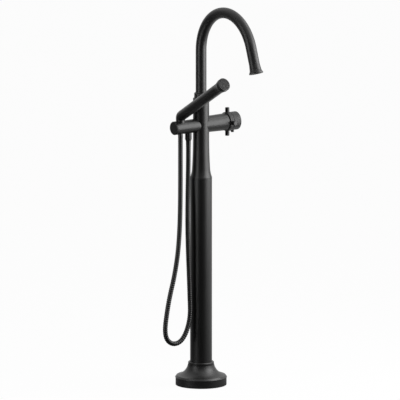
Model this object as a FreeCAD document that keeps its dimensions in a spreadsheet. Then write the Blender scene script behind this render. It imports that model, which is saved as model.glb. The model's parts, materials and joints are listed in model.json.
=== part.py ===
import FreeCAD, Part
import math
import os
import Sketcher

# Floor standing bath filler: a round column on a floor flange, a swivelling
# gooseneck spout, a thermostatic valve in the right arm with a pinned flow
# handle and a temperature knob, and a stick hand shower that stands in the
# left arm with its ribbed hose hanging to an outlet under the same arm.
# Millimetres, +Z up, origin on the floor at the centre of the column.
# The valve axis runs along X, the spout and the hand shower point to -Y.

SIZES = {
    # shared clearances
    "slip": 0.1,                    # around pieces that slide together and stay
    "running": 0.08,                # radial gap of a turning fit
    "reveal": 0.4,                  # open line between a turning piece and a fixed one
    "overcut": 1.0,                 # how far a cut starts outside its piece
    # floor flange
    "flange_radius": 71.5,
    "flange_wall": 4.0,
    "rim_height": 20.0,
    "bead_height": 3.2,
    "bead_round": 1.8,
    "bevel_width": 2.5,
    "bevel_height": 3.8,
    "cove_round": 38.0,
    "cove_top_step": 6.3,
    "cove_height": 30.2,
    "cove_inner_step": 1.0,
    "band_step": 5.6,
    "band_groove": 1.1,
    "band_groove_depth": 1.3,
    "band_height": 4.6,
    "band_round": 3.0,
    "gasket_width": 2.4,
    "gasket_height": 1.6,
    # floor plate
    "plate_gap": 5.5,
    "plate_thickness": 8.0,
    "plate_bore": 21.0,
    "socket_height": 44.0,
    "bolt_inset": 15.0,
    "bolt_hole": 4.5,
    "column_screw_height": 30.0,
    "column_screw_radius": 2.5,
    "screw_tip_wall": 1.0,
    "column_screw_head": 4.2,
    "column_screw_head_height": 2.6,
    # lower column
    "column_radius": 30.7,
    "column_wall": 2.5,
    "joint_drop": 149.0,
    "joint_ring_height": 1.0,
    "joint_ring_inset": 0.8,
    "coupling_wall": 3.2,
    "coupling_depth": 32.0,
    "coupling_rise": 24.0,
    # upper body
    "shoulder_step": 0.3,
    "shoulder_lip": 1.5,
    "shoulder_cove_round": 75.0,
    "shoulder_cove_height": 21.5,
    "shoulder_cove_radius": 25.6,
    "taper_round": 1500.0,
    "taper_height": 88.0,
    "body_radius": 22.7,
    "body_rise": 77.0,
    "body_top_chamfer": 1.6,
    "body_bore": 20.0,
    "septum_rise": 37.0,
    "septum_thickness": 5.0,
    "septum_bore": 12.0,
    "swivel_wall": 2.05,
    # spout
    "spout_radius": 15.15,
    "spout_wall": 2.5,
    "spout_bend_rise": 134.8,
    "spout_bend_radius": 122.0,
    "spout_bend_angle": 160.5,
    "spout_tail": 48.6,
    "outlet_length": 25.0,
    "outlet_waist_step": 1.25,
    "outlet_waist_length": 11.0,
    "outlet_cove_round": 16.0,
    "outlet_lip_step": 4.75,
    "outlet_lip_height": 3.0,
    "outlet_mouth_inset": 0.55,
    "outlet_spigot": 12.0,
    "outlet_spigot_wall": 2.0,
    "spout_seal_round": 0.95,
    "spout_seal_place": 5.0,
    "spout_seal_pitch": 7.0,
    "collar_step": 4.25,
    "collar_height": 15.0,
    "collar_chamfer": 2.2,
    "collar_skirt": 9.0,
    "collar_groove_depth": 0.8,
    "collar_groove": 2.6,
    "limit_screw_length": 3.2,
    "limit_screw_sink": 0.5,
    "limit_screw_radius": 2.0,
    "riser_radius": 7.0,
    "riser_bore": 5.0,
    "riser_flange": 4.0,
    "aerator_length": 14.0,
    "aerator_depth": 4.5,
    "aerator_wall": 1.8,
    "aerator_screen_thickness": 3.0,
    "aerator_hole": 1.1,
    "aerator_hole_pitch": 3.6,
    "aerator_seal_height": 1.5,
    # valve core and arms
    "valve_height": 738.0,
    "core_radius": 18.5,
    "core_left": 10.0,
    "core_inset": 11.3,
    "core_spigot_radius": 9.0,
    "core_spigot_length": 24.0,
    "core_spigot_bore": 5.5,
    "core_bore": 15.0,
    "core_bore_left": 14.0,
    "port_height": 9.0,
    "port_channel": 3.0,
    "channel_step": 1.0,
    "supply_offset": 8.0,
    "supply_radius": 5.0,
    "supply_wall": 0.8,
    "supply_foot": 12.0,
    "supply_nut_radius": 7.3,
    "supply_nut_height": 13.0,
    "inlet_foot": 4.0,
    "inlet_radius": 7.2,
    "inlet_bore": 3.8,
    "inlet_top": 24.0,
    "clamp_foot": 30.0,
    "clamp_height": 6.0,
    "arm_root": 2.0,
    "right_arm_root_radius": 22.4,
    "right_arm_end_radius": 24.0,
    "right_arm_end": 83.3,
    "right_arm_round": 1.2,
    "left_arm_radius": 19.0,
    "left_arm_end": 95.0,
    "waterway_over": 9.0,
    "end_cap_thickness": 4.0,
    "end_cap_spigot_radius": 13.0,
    "end_cap_spigot_length": 3.2,
    "end_cap_round": 2.2,
    "end_groove": 0.5,
    # outlet, check valve and hose holder in the left arm
    "outlet_spacing": 27.1,
    "outlet_nut_radius": 9.25,
    "outlet_nut_height": 16.0,
    "outlet_nut_tip_radius": 7.6,
    "outlet_nut_taper": 5.0,
    "outlet_nut_saddle": 2.6,
    "nipple_radius": 5.4,
    "nipple_bore": 3.6,
    "nipple_depth": 9.0,
    "nipple_drop": 8.0,
    "washer_height": 1.0,
    "check_valve_length": 6.0,
    "holder_inset": 16.8,
    "bush_radius": 10.8,
    "bush_mouth_radius": 9.8,
    "bush_inset": 0.3,
    "bush_mouth_depth": 1.6,
    "bush_cone": 1.0,
    # thermostatic cartridge
    "cartridge_head_radius": 11.0,
    "cartridge_head_length": 6.0,
    "cartridge_seal_round": 1.0,
    "cartridge_seal_place": 8.0,
    "cartridge_nut_length": 8.0,
    "spindle_radius": 4.0,
    "spindle_depth": 10.0,
    # pinned flow handle
    "handle_gap": 0.5,
    "handle_length": 13.2,
    "handle_radius": 27.0,
    "handle_chamfer": 1.2,
    "sleeve_radius": 9.0,
    "sleeve_bore": 4.8,
    "sleeve_short": 2.0,
    "pin_radius": 6.0,
    "pin_reach": 40.0,
    "pin_root": 17.0,
    "pin_chamfer": 0.8,
    # temperature knob
    "knob_gap": 1.8,
    "knob_length": 22.7,
    "knob_radius": 25.75,
    "knob_wall": 3.2,
    "knob_round": 1.6,
    "knob_cap_step": 4.75,
    "knob_cap_thickness": 2.4,
    "knob_cap_inset": 0.5,
    "knob_hub_radius": 8.0,
    "knob_hub_inset": 2.2,
    "knob_web": 4.2,
    "knob_screw_radius": 2.2,
    "knob_screw_head": 3.8,
    "knob_screw_head_height": 2.4,
    "button_inset": 9.2,
    "button_radius": 4.5,
    "button_proud": 5.95,
    "button_flange_depth": 1.0,
    "button_flange_radius": 5.6,
    "button_flange": 1.4,
    "button_round": 0.9,
    "button_spring_wire": 0.6,
    # hand shower
    "neck_radius": 8.0,
    "neck_rise": 3.0,
    "skirt_radius": 12.6,
    "skirt_depth": 8.0,
    "elbow_bend_radius": 16.0,
    "stick_angle": 59.7,
    "stick_radius": 14.5,
    "stick_head_radius": 15.25,
    "stick_wall": 2.2,
    "head_start": 205.5,
    "head_flare_round": 90.0,
    "head_spigot": 10.0,
    "head_spigot_wall": 2.0,
    "head_flare_length": 25.0,
    "head_lip": 4.0,
    "head_ring_length": 10.4,
    "head_radius": 18.75,
    "head_wall": 1.8,
    "head_round": 1.2,
    "head_groove": 0.8,
    "head_groove_width": 1.2,
    "spray_inset": 2.6,
    "spray_thickness": 3.4,
    "mat_thickness": 1.5,
    "spray_proud": 0.7,
    "nozzle_radius": 0.75,
    "nozzle_proud": 0.8,
    "nozzle_inset": 3.4,
    "tube_radius": 6.0,
    "tube_wall": 1.2,
    "tube_ring_height": 4.0,
    "elbow_spigot": 9.0,
    # hose and its upper nut
    "hose_radius": 6.9,
    "hose_bore": 4.4,
    "rib_depth": 0.9,
    "hose_nut_inset": 3.0,
    "hose_nut_foot_radius": 7.4,
    "hose_nut_radius": 8.7,
    "hose_nut_collar": 5.0,
    "hose_nut_proud": 1.0,
    "hose_nut_taper": 13.0,
    "hose_cuff": 14.0,
}

HANDLE_PINS = 4
FLOOR_BOLTS = 4
COLUMN_SCREWS = 3
NOZZLE_RINGS = 3
HOSE_RIBS = 196


class Size:
    """A length that knows its value and the sheet expression it comes from."""

    def __init__(self, value, text):
        self.value = value
        self.text = text

    def __add__(self, other):
        other = as_size(other)
        return Size(self.value + other.value, f"({self.text} + {other.text})")

    def __sub__(self, other):
        other = as_size(other)
        return Size(self.value - other.value, f"({self.text} - {other.text})")

    def __neg__(self):
        return Size(-self.value, f"(-{self.text})")

    def __mul__(self, factor):
        factor = as_size(factor)
        return Size(self.value * factor.value, f"({self.text} * {factor.text})")

    def __truediv__(self, divisor):
        divisor = as_size(divisor)
        return Size(self.value / divisor.value, f"({self.text} / {divisor.text})")

    __radd__ = __add__


def as_size(number):
    """A plain number takes part in sums as a size of its own."""
    return number if isinstance(number, Size) else Size(float(number), str(number))


def sine(angle):
    """The sine of an angle in degrees."""
    return Size(math.sin(math.radians(angle.value)), f"sin({angle.text} * 1 deg)")


def cosine(angle):
    """The cosine of an angle in degrees."""
    return Size(math.cos(math.radians(angle.value)), f"cos({angle.text} * 1 deg)")


doc = FreeCAD.newDocument("bath_filler")
sheet = doc.addObject("Spreadsheet::Sheet", "Sizes")
for row, (alias, number) in enumerate(SIZES.items(), start=1):
    sheet.set(f"A{row}", alias)
    sheet.set(f"B{row}", str(number))
    sheet.setAlias(f"B{row}", alias)
doc.recompute()


def size(alias):
    """The named size of the sheet."""
    return Size(float(sheet.get(alias)), f"Sizes.{alias}")


ZERO = as_size(0)
PARTS = []


def bind(thing, path, length):
    """Ties one property of an object to a size."""
    thing.setExpression(path, length.text)


def sub_part(piece, label, place=(ZERO, ZERO, ZERO), turn=None, lean=None):
    """Names a finished piece, stands it in its place and lists it for export. A lean tips
    it about the X axis, from upright towards -Y."""
    piece.Label = label
    rotation = turn or FreeCAD.Rotation()
    if lean is not None:
        rotation = FreeCAD.Rotation(FreeCAD.Vector(1, 0, 0), lean.value)
    base = FreeCAD.Vector(*[coordinate.value for coordinate in place])
    piece.Placement = FreeCAD.Placement(base, rotation)
    if piece.TypeId != "Part::Feature":
        for axis, coordinate in zip("xyz", place):
            bind(piece, f"Placement.Base.{axis}", coordinate)
        if lean is not None:
            piece.setExpression("Placement.Rotation.Angle", f"{lean.text} * 1 deg")
    PARTS.append(piece)
    return piece


def origin_plane(body, role):
    """One of the body's own base planes."""
    return next(plane for plane in body.Origin.OriginFeatures if plane.Role == role)


def sketch_on(body, role, name, offset=None):
    """An empty sketch on a base plane of the body, lifted off it by an offset."""
    sketch = body.newObject("Sketcher::SketchObject", name)
    sketch.AttachmentSupport = (origin_plane(body, role), [""])
    sketch.MapMode = "FlatFace"
    if offset is not None:
        bind(sketch, "AttachmentOffset.Base.z", offset)
    return sketch


def pin_point(sketch, line, end, point):
    """Holds one end of a line at a sized distance from both sketch axes."""
    for kind, length, axis in (("DistanceX", point[0], -2), ("DistanceY", point[1], -1)):
        if length.text == ZERO.text:
            sketch.addConstraint(Sketcher.Constraint("PointOnObject", line, end, axis))
            continue
        held = sketch.addConstraint(Sketcher.Constraint(kind, -1, 1, line, end, length.value))
        bind(sketch, f"Constraints[{held}]", length)


def arc_between(start, end, radius, bulge):
    """The short arc of a radius between two points; bulge 1 lies left of the way, -1 right.
    A sketch holds arcs anticlockwise, so one that lies left runs from end to start."""
    first = FreeCAD.Vector(start[0].value, start[1].value, 0)
    last = FreeCAD.Vector(end[0].value, end[1].value, 0)
    chord = last - first
    half = chord.Length / 2
    left = FreeCAD.Vector(-chord.y, chord.x, 0).normalize()
    sagitta = radius.value - math.sqrt(radius.value ** 2 - half ** 2)
    middle = (first + last) / 2 + left * sagitta * bulge
    return Part.Arc(last, middle, first) if bulge > 0 else Part.Arc(first, middle, last)


def outline(sketch, points):
    """Draws a closed outline. A point is (x, y), or (x, y, radius, bulge) where the way
    from it to the next point is an arc. Every point is held at its own two sizes."""
    corners = [tuple(as_size(value) for value in point[:2]) for point in points]
    ends = []
    for index, point in enumerate(points):
        start, end = corners[index], corners[(index + 1) % len(points)]
        if len(point) == 2:
            flat = [FreeCAD.Vector(spot[0].value, spot[1].value, 0) for spot in (start, end)]
            sketch.addGeometry(Part.LineSegment(*flat), False)
            ends.append((1, 2))
            continue
        sketch.addGeometry(arc_between(start, end, as_size(point[2]), point[3]), False)
        ends.append((2, 1) if point[3] > 0 else (1, 2))
    for index, point in enumerate(points):
        follower = (index + 1) % len(points)
        sketch.addConstraint(Sketcher.Constraint(
            "Coincident", index, ends[index][1], follower, ends[follower][0]))
    for index, point in enumerate(points):
        pin_point(sketch, index, ends[index][0], corners[index])
        if len(point) == 4:
            radius = as_size(point[2])
            held = sketch.addConstraint(Sketcher.Constraint("Radius", index, radius.value))
            bind(sketch, f"Constraints[{held}]", radius)


def circle(sketch, x, y, radius):
    """A circle held by its centre and its radius."""
    x, y = as_size(x), as_size(y)
    centre = FreeCAD.Vector(x.value, y.value, 0)
    ring = sketch.addGeometry(Part.Circle(centre, FreeCAD.Vector(0, 0, 1), radius.value), False)
    pin_point(sketch, ring, 3, (x, y))
    held = sketch.addConstraint(Sketcher.Constraint("Radius", ring, radius.value))
    bind(sketch, f"Constraints[{held}]", radius)


def new_body(name):
    """An empty body."""
    return doc.addObject("PartDesign::Body", name)


def turned(name, points):
    """A body of one closed half outline, (radius, height), turned about its Z axis."""
    body = new_body(name)
    sketch = sketch_on(body, "XZ_Plane", f"{name}_profile")
    outline(sketch, points)
    turn = body.newObject("PartDesign::Revolution", f"{name}_turn")
    turn.Profile = sketch
    turn.ReferenceAxis = (sketch, ["V_Axis"])
    turn.Angle = 360
    doc.recompute()
    return body


def cut_circles(body, name, role, circles, start, depth, back=False):
    """Bores round holes (x, y, radius) from a plane at start, as deep as depth, and checks
    that metal came away."""
    before = body.Shape.Volume
    sketch = sketch_on(body, role, f"{name}_circle", start)
    for x, y, radius in circles:
        circle(sketch, x, y, radius)
    pocket = body.newObject("PartDesign::Pocket", name)
    pocket.Profile = sketch
    pocket.Reversed = back
    bind(pocket, "Length", depth)
    doc.recompute()
    if not body.Shape.Volume < before - 0.01:
        raise RuntimeError(f"{name} cuts nothing")
    return pocket


def around(body, name, features, count):
    """Repeats features evenly round the body's Z axis."""
    pattern = body.newObject("PartDesign::PolarPattern", name)
    pattern.Originals = features
    pattern.Axis = (origin_axis(body, "Z_Axis"), [""])
    pattern.Angle = 360
    pattern.Occurrences = count
    body.Tip = pattern
    doc.recompute()
    return pattern


def origin_axis(body, role):
    """One of the body's own axes."""
    return next(axis for axis in body.Origin.OriginFeatures if axis.Role == role)


def pad_circles(body, name, role, circles, start, length):
    """Round bars (x, y, radius) that stand on a plane at start."""
    sketch = sketch_on(body, role, f"{name}_circle", start)
    for x, y, radius in circles:
        circle(sketch, x, y, radius)
    pad = body.newObject("PartDesign::Pad", name)
    pad.Profile = sketch
    bind(pad, "Length", length)
    doc.recompute()
    return pad


def seal_rings(name, ring_radius, section_radius, heights):
    """A set of round sealing rings about the Z axis of one body."""
    body = new_body(name)
    body.AllowCompound = True
    sketch = sketch_on(body, "XZ_Plane", f"{name}_sections")
    for height in heights:
        circle(sketch, ring_radius, height, section_radius)
    turn = body.newObject("PartDesign::Revolution", f"{name}_turn")
    turn.Profile = sketch
    turn.ReferenceAxis = (sketch, ["V_Axis"])
    turn.Angle = 360
    doc.recompute()
    return body


def upright_circle(radius, centre, way, steady=FreeCAD.Vector(1, 0, 0)):
    """A round wire square to a way, turned so that its start lies along a steady axis."""
    side = way.cross(steady)
    wire = Part.Wire([Part.makeCircle(radius)])
    wire.Placement = FreeCAD.Placement(centre, FreeCAD.Rotation(steady, side, way, "ZXY"))
    return wire


ALONG_X = FreeCAD.Rotation(FreeCAD.Vector(0, 1, 0), 90)
ALONG_DOWN = FreeCAD.Rotation(FreeCAD.Vector(1, 0, 0), 180)


# --- floor flange, floor plate and lower column -----------------------------------------
slip = size("slip")
running = size("running")
reveal = size("reveal")
overcut = size("overcut")
valve_height = size("valve_height")

flange_radius = size("flange_radius")
flange_wall = size("flange_wall")
column_radius = size("column_radius")
column_bore = column_radius - size("column_wall")
rim_height = size("rim_height")
bead_top = rim_height + size("bead_height")
bevel_radius = flange_radius - size("bevel_width")
bevel_top = bead_top + size("bevel_height")
cove_round = size("cove_round")
cove_top_radius = column_radius + size("cove_top_step")
cove_top = bevel_top + size("cove_height")
cove_inner = cove_top_radius - flange_wall + size("cove_inner_step")
band_radius = column_radius + size("band_step")
groove_radius = band_radius - size("band_groove_depth")
band_foot = cove_top + size("band_groove")
band_top = band_foot + size("band_height")
band_round = size("band_round")
flange_top = band_top + band_round
flange_bore = column_radius + slip
gasket_width = size("gasket_width")
gasket_height = size("gasket_height")
gasket_inner = flange_radius - flange_wall / 2 - gasket_width / 2
gasket_outer = gasket_inner + gasket_width

floor_flange = turned("floor_flange", [
    (gasket_outer, 0),
    (flange_radius, 0),
    (flange_radius, rim_height, size("bead_round"), -1),
    (flange_radius, bead_top),
    (bevel_radius, bevel_top, cove_round, 1),
    (cove_top_radius, cove_top),
    (groove_radius, cove_top),
    (groove_radius, band_foot),
    (band_radius, band_foot),
    (band_radius, band_top, band_round, -1),
    (band_radius - band_round, flange_top),
    (flange_bore, flange_top),
    (flange_bore, cove_top - flange_wall),
    (cove_inner, cove_top - flange_wall, cove_round + flange_wall, -1),
    (flange_radius - flange_wall, bevel_top - flange_wall),
    (flange_radius - flange_wall, 0),
    (gasket_inner, 0),
    (gasket_inner, gasket_height),
    (gasket_outer, gasket_height),
])
sub_part(floor_flange, "floor_flange")

floor_gasket = turned("floor_gasket", [
    (gasket_inner, 0),
    (gasket_outer, 0),
    (gasket_outer, gasket_height),
    (gasket_inner, gasket_height),
])
sub_part(floor_gasket, "floor_gasket")

plate_thickness = size("plate_thickness")
plate_radius = flange_radius - flange_wall - size("plate_gap")
bolt_circle = plate_radius - size("bolt_inset")
plate_bore = size("plate_bore")
socket_radius = column_bore - slip
screw_height = size("column_screw_height")
screw_radius = size("column_screw_radius")
screw_head = size("column_screw_head")
screw_head_height = size("column_screw_head_height")
screw_depth = column_radius - plate_bore - size("screw_tip_wall")

floor_plate = turned("floor_plate", [
    (plate_bore, 0),
    (plate_radius, 0),
    (plate_radius, plate_thickness),
    (socket_radius, plate_thickness),
    (socket_radius, size("socket_height")),
    (plate_bore, size("socket_height")),
])
bolt_hole = cut_circles(
    floor_plate, "bolt_hole", "XY_Plane", [(bolt_circle, 0, size("bolt_hole"))],
    plate_thickness + overcut, plate_thickness + overcut * 2)
around(floor_plate, "bolt_holes", [bolt_hole], FLOOR_BOLTS)
plate_screw_hole = cut_circles(
    floor_plate, "screw_hole", "XZ_Plane", [(0, screw_height, screw_radius + slip)],
    column_radius, screw_depth)
around(floor_plate, "screw_holes", [plate_screw_hole], COLUMN_SCREWS)
sub_part(floor_plate, "floor_plate")

column_joint = valve_height - size("joint_drop")
joint_ring_foot = column_joint - size("joint_ring_height") / 2
joint_ring_top = joint_ring_foot + size("joint_ring_height")
lower_column = turned("lower_column", [
    (column_bore, plate_thickness),
    (column_radius, plate_thickness),
    (column_radius, joint_ring_foot),
    (column_bore, joint_ring_foot),
])
column_screw_hole = cut_circles(
    lower_column, "screw_hole_in_column", "XZ_Plane", [(0, screw_height, screw_radius + slip)],
    column_radius + overcut, size("column_wall") + overcut * 2)
around(lower_column, "screw_holes_in_column", [column_screw_hole], COLUMN_SCREWS)
sub_part(lower_column, "lower_column")


column_screws = new_body("column_screws")
column_screws.AllowCompound = True
screw_shank = pad_circles(
    column_screws, "screw_shank", "XZ_Plane", [(0, screw_height, screw_radius)],
    column_radius - screw_depth, screw_depth)
screw_cap = pad_circles(
    column_screws, "screw_cap", "XZ_Plane", [(0, screw_height, screw_head)],
    column_radius, screw_head_height)
around(column_screws, "screws", [screw_shank, screw_cap], COLUMN_SCREWS)
sub_part(column_screws, "column_screws")

body_bore = size("body_bore")
coupling_wall = size("coupling_wall")
coupling_shoulder = joint_ring_foot - coupling_wall
column_coupling = turned("column_coupling", [
    (socket_radius - coupling_wall, joint_ring_foot - size("coupling_depth")),
    (socket_radius, joint_ring_foot - size("coupling_depth")),
    (socket_radius, joint_ring_foot),
    (body_bore - slip, joint_ring_foot),
    (body_bore - slip, joint_ring_top + size("coupling_rise")),
    (body_bore - slip - coupling_wall, joint_ring_top + size("coupling_rise")),
    (body_bore - slip - coupling_wall, coupling_shoulder),
    (socket_radius - coupling_wall, coupling_shoulder),
])
sub_part(column_coupling, "column_coupling")

joint_ring = turned("column_joint_ring", [
    (body_bore, joint_ring_foot),
    (column_radius - size("joint_ring_inset"), joint_ring_foot),
    (column_radius - size("joint_ring_inset"), joint_ring_top),
    (body_bore, joint_ring_top),
])
sub_part(joint_ring, "column_joint_ring")


# --- upper body, core and arms ----------------------------------------------------------
shoulder_radius = column_radius - size("shoulder_step")
shoulder_foot = joint_ring_top + size("shoulder_lip")
shoulder_top = joint_ring_top + size("shoulder_cove_height")
body_radius = size("body_radius")
body_top = valve_height + size("body_rise")
septum_foot = valve_height + size("septum_rise")
septum_top = septum_foot + size("septum_thickness")
spout_radius = size("spout_radius")
swivel_bore = spout_radius + size("swivel_wall")
core_radius = size("core_radius")
core_left = size("core_left")
right_end = size("right_arm_end")
core_right = right_end - size("core_inset")
spigot_radius = size("core_spigot_radius")

upper_body = turned("upper_body", [
    (body_bore, joint_ring_top),
    (shoulder_radius, joint_ring_top),
    (shoulder_radius, shoulder_foot, size("shoulder_cove_round"), 1),
    (size("shoulder_cove_radius"), shoulder_top, size("taper_round"), 1),
    (body_radius, shoulder_top + size("taper_height")),
    (body_radius, body_top - size("body_top_chamfer")),
    (body_radius - size("body_top_chamfer"), body_top),
    (swivel_bore, body_top),
    (swivel_bore, septum_top),
    (size("septum_bore"), septum_top),
    (size("septum_bore"), septum_foot),
    (body_bore, septum_foot),
])
cut_circles(upper_body, "core_hole", "YZ_Plane", [(0, valve_height, core_radius + slip)],
            body_radius + overcut, body_radius + overcut + core_left + slip)
cut_circles(upper_body, "core_spigot_hole", "YZ_Plane",
            [(0, valve_height, spigot_radius + slip)], overcut - core_left, body_radius)
sub_part(upper_body, "upper_body")

core_bore = size("core_bore")
core_bore_left = size("core_bore_left")
spigot_end = core_left + size("core_spigot_length")
spigot_bore = size("core_spigot_bore")
supply_radius = size("supply_radius")
supply_offset = size("supply_offset")
port_radius = supply_radius + slip
port_height = size("port_height")
channel_offset = port_height + size("channel_step")
riser_radius = size("riser_radius")

mixer_core = turned("mixer_core", [
    (spigot_bore, -spigot_end),
    (spigot_radius, -spigot_end),
    (spigot_radius, -core_left),
    (core_radius, -core_left),
    (core_radius, core_right),
    (core_bore, core_right),
    (core_bore, core_bore_left),
    (spigot_bore, core_bore_left),
])
cut_circles(mixer_core, "supply_ports", "YZ_Plane",
            [(supply_offset, 0, port_radius), (-supply_offset, 0, port_radius)],
            core_radius + overcut, core_radius + overcut - port_height)
cut_circles(mixer_core, "supply_channels", "XY_Plane",
            [(channel_offset, supply_offset, size("port_channel")),
             (channel_offset, -supply_offset, size("port_channel"))],
            core_bore_left + overcut, core_bore_left + overcut)
cut_circles(mixer_core, "riser_port", "YZ_Plane", [(0, 0, riser_radius + slip)],
            -core_radius - overcut, core_radius + overcut, back=True)
sub_part(mixer_core, "mixer_core", (ZERO, ZERO, valve_height), ALONG_X)

supply_foot = size("supply_foot")
supply_bore = supply_radius - size("supply_wall")
supply_top = valve_height - port_height
nut_radius = size("supply_nut_radius")
nut_top = valve_height - core_radius - slip
nut_foot = nut_top - size("supply_nut_height")
clamp_foot = size("clamp_foot")
clamp_height = size("clamp_height")
inlet_foot = size("inlet_foot")
inlet_bore = size("inlet_bore")

for side, water in ((1, "hot"), (-1, "cold")):
    supply_place = (ZERO, supply_offset * side, ZERO)
    pipe = turned(f"{water}_supply_pipe", [
        (supply_bore, supply_foot),
        (supply_radius, supply_foot),
        (supply_radius, supply_top),
        (supply_bore, supply_top),
    ])
    sub_part(pipe, f"{water}_supply_pipe", supply_place)
    union = turned(f"{water}_union_nut", [
        (supply_radius + slip, nut_foot),
        (nut_radius, nut_foot),
        (nut_radius, nut_top),
        (supply_radius + slip, nut_top),
    ])
    sub_part(union, f"{water}_union_nut", supply_place)
    inlet = turned(f"{water}_inlet", [
        (inlet_bore, inlet_foot),
        (size("inlet_radius"), inlet_foot),
        (size("inlet_radius"), size("inlet_top")),
        (supply_radius + slip, size("inlet_top")),
        (supply_radius + slip, supply_foot),
        (inlet_bore, supply_foot),
    ])
    sub_part(inlet, f"{water}_inlet", supply_place)

pipe_clamp = new_body("pipe_clamp")
pad_circles(pipe_clamp, "clamp_disc", "XY_Plane", [(0, 0, plate_bore - slip)],
            clamp_foot, clamp_height)
cut_circles(pipe_clamp, "clamp_holes", "XY_Plane",
            [(0, supply_offset, supply_radius + slip), (0, -supply_offset, supply_radius + slip)],
            clamp_foot + clamp_height + overcut, clamp_height + overcut * 2)
sub_part(pipe_clamp, "pipe_clamp")

riser_flange = size("riser_flange")
riser_bore = size("riser_bore")
riser_tube = turned("riser_tube", [
    (riser_bore, valve_height + spigot_bore),
    (riser_radius, valve_height + spigot_bore),
    (riser_radius, septum_top),
    (swivel_bore - slip, septum_top),
    (swivel_bore - slip, septum_top + riser_flange),
    (riser_bore, septum_top + riser_flange),
])
sub_part(riser_tube, "riser_tube")

right_end_radius = size("right_arm_end_radius")
right_round = size("right_arm_round")
right_arm = turned("right_arm", [
    (core_radius + slip, size("arm_root")),
    (size("right_arm_root_radius"), size("arm_root")),
    (right_end_radius, right_end - right_round, right_round, -1),
    (right_end_radius - right_round, right_end),
    (core_radius + slip, right_end),
])
cut_circles(right_arm, "body_saddle_right", "YZ_Plane", [(0, 0, body_radius)],
            right_end_radius + overcut, (right_end_radius + overcut) * 2)
sub_part(right_arm, "right_arm", (ZERO, ZERO, valve_height), ALONG_X)

left_radius = size("left_arm_radius")
left_end = size("left_arm_end")
cap_foot = left_end - size("end_cap_thickness")
cap_spigot = size("end_cap_spigot_radius")
cap_spigot_end = cap_foot - size("end_cap_spigot_length")
nipple_radius = size("nipple_radius")
holder_offset = cap_spigot_end - size("holder_inset")
outlet_offset = holder_offset - size("outlet_spacing")
waterway_end = outlet_offset + size("waterway_over")
bush_radius = size("bush_radius")
skirt_radius = size("skirt_radius")
seat_depth = size("skirt_depth") + reveal
arm_top = valve_height + left_radius
arm_foot = valve_height - left_radius

left_arm = turned("left_arm", [
    (0, slip - cap_spigot_end),
    (cap_spigot + slip, slip - cap_spigot_end),
    (cap_spigot + slip, -cap_foot),
    (left_radius, -cap_foot),
    (left_radius, -size("arm_root")),
    (spigot_radius + slip, -size("arm_root")),
    (spigot_radius + slip, -waterway_end),
    (0, -waterway_end),
])
cut_circles(left_arm, "body_saddle_left", "YZ_Plane", [(0, 0, body_radius)],
            left_radius + overcut, (left_radius + overcut) * 2)
cut_circles(left_arm, "holder_hole", "YZ_Plane", [(0, -holder_offset, bush_radius + slip)],
            left_radius + overcut, (left_radius + overcut) * 2)
cut_circles(left_arm, "outlet_hole", "YZ_Plane", [(0, -outlet_offset, nipple_radius + slip)],
            left_radius + overcut, left_radius + overcut)
cut_circles(left_arm, "holder_seat", "YZ_Plane", [(0, -holder_offset, skirt_radius + reveal)],
            seat_depth - left_radius, seat_depth + overcut)
sub_part(left_arm, "left_arm", (ZERO, ZERO, valve_height), ALONG_X)

cap_round = size("end_cap_round")
end_groove = size("end_groove")
arm_end_cap = turned("arm_end_cap", [
    (0, -left_end),
    (left_radius - cap_round, -left_end, cap_round, -1),
    (left_radius, cap_round - left_end),
    (left_radius, -cap_foot - end_groove),
    (left_radius - end_groove, -cap_foot - end_groove),
    (left_radius - end_groove, -cap_foot),
    (cap_spigot, -cap_foot),
    (cap_spigot, -cap_spigot_end),
    (0, -cap_spigot_end),
])
sub_part(arm_end_cap, "arm_end_cap", (ZERO, ZERO, valve_height), ALONG_X)


# --- hose outlet and hand shower holder in the left arm ---------------------------------
nipple_bore = size("nipple_bore")
nipple_foot = arm_foot - size("nipple_drop")
nipple_top = arm_foot + size("nipple_depth")
washer_height = size("washer_height")
outlet_nut_foot = arm_foot - size("outlet_nut_height") - size("outlet_nut_taper")
outlet_nut_top = arm_foot + size("outlet_nut_saddle")
outlet_place = (-outlet_offset, ZERO, ZERO)

outlet_nipple = turned("outlet_nipple", [
    (nipple_bore, nipple_foot),
    (nipple_radius, nipple_foot),
    (nipple_radius, nipple_top),
    (nipple_bore, nipple_top),
])
sub_part(outlet_nipple, "outlet_nipple", outlet_place)

outlet_nut = turned("outlet_nut", [
    (nipple_bore, outlet_nut_foot),
    (size("outlet_nut_tip_radius"), outlet_nut_foot),
    (size("outlet_nut_radius"), arm_foot - size("outlet_nut_height")),
    (size("outlet_nut_radius"), outlet_nut_top),
    (nipple_radius + slip, outlet_nut_top),
    (nipple_radius + slip, nipple_foot - washer_height),
    (nipple_bore, nipple_foot - washer_height),
])
cut_circles(outlet_nut, "arm_saddle", "YZ_Plane", [(0, valve_height, left_radius)],
            left_radius, left_radius * 2)
sub_part(outlet_nut, "outlet_nut", outlet_place)

outlet_washer = turned("outlet_washer", [
    (nipple_bore, nipple_foot - washer_height),
    (nipple_radius, nipple_foot - washer_height),
    (nipple_radius, nipple_foot),
    (nipple_bore, nipple_foot),
])
sub_part(outlet_washer, "outlet_washer", outlet_place)

check_valve = turned("check_valve", [
    (nipple_bore / 2, nipple_top - size("check_valve_length")),
    (nipple_bore - slip, nipple_top - size("check_valve_length")),
    (nipple_bore - slip, nipple_top),
    (nipple_bore / 2, nipple_top),
])
sub_part(check_valve, "check_valve", outlet_place)

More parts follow.
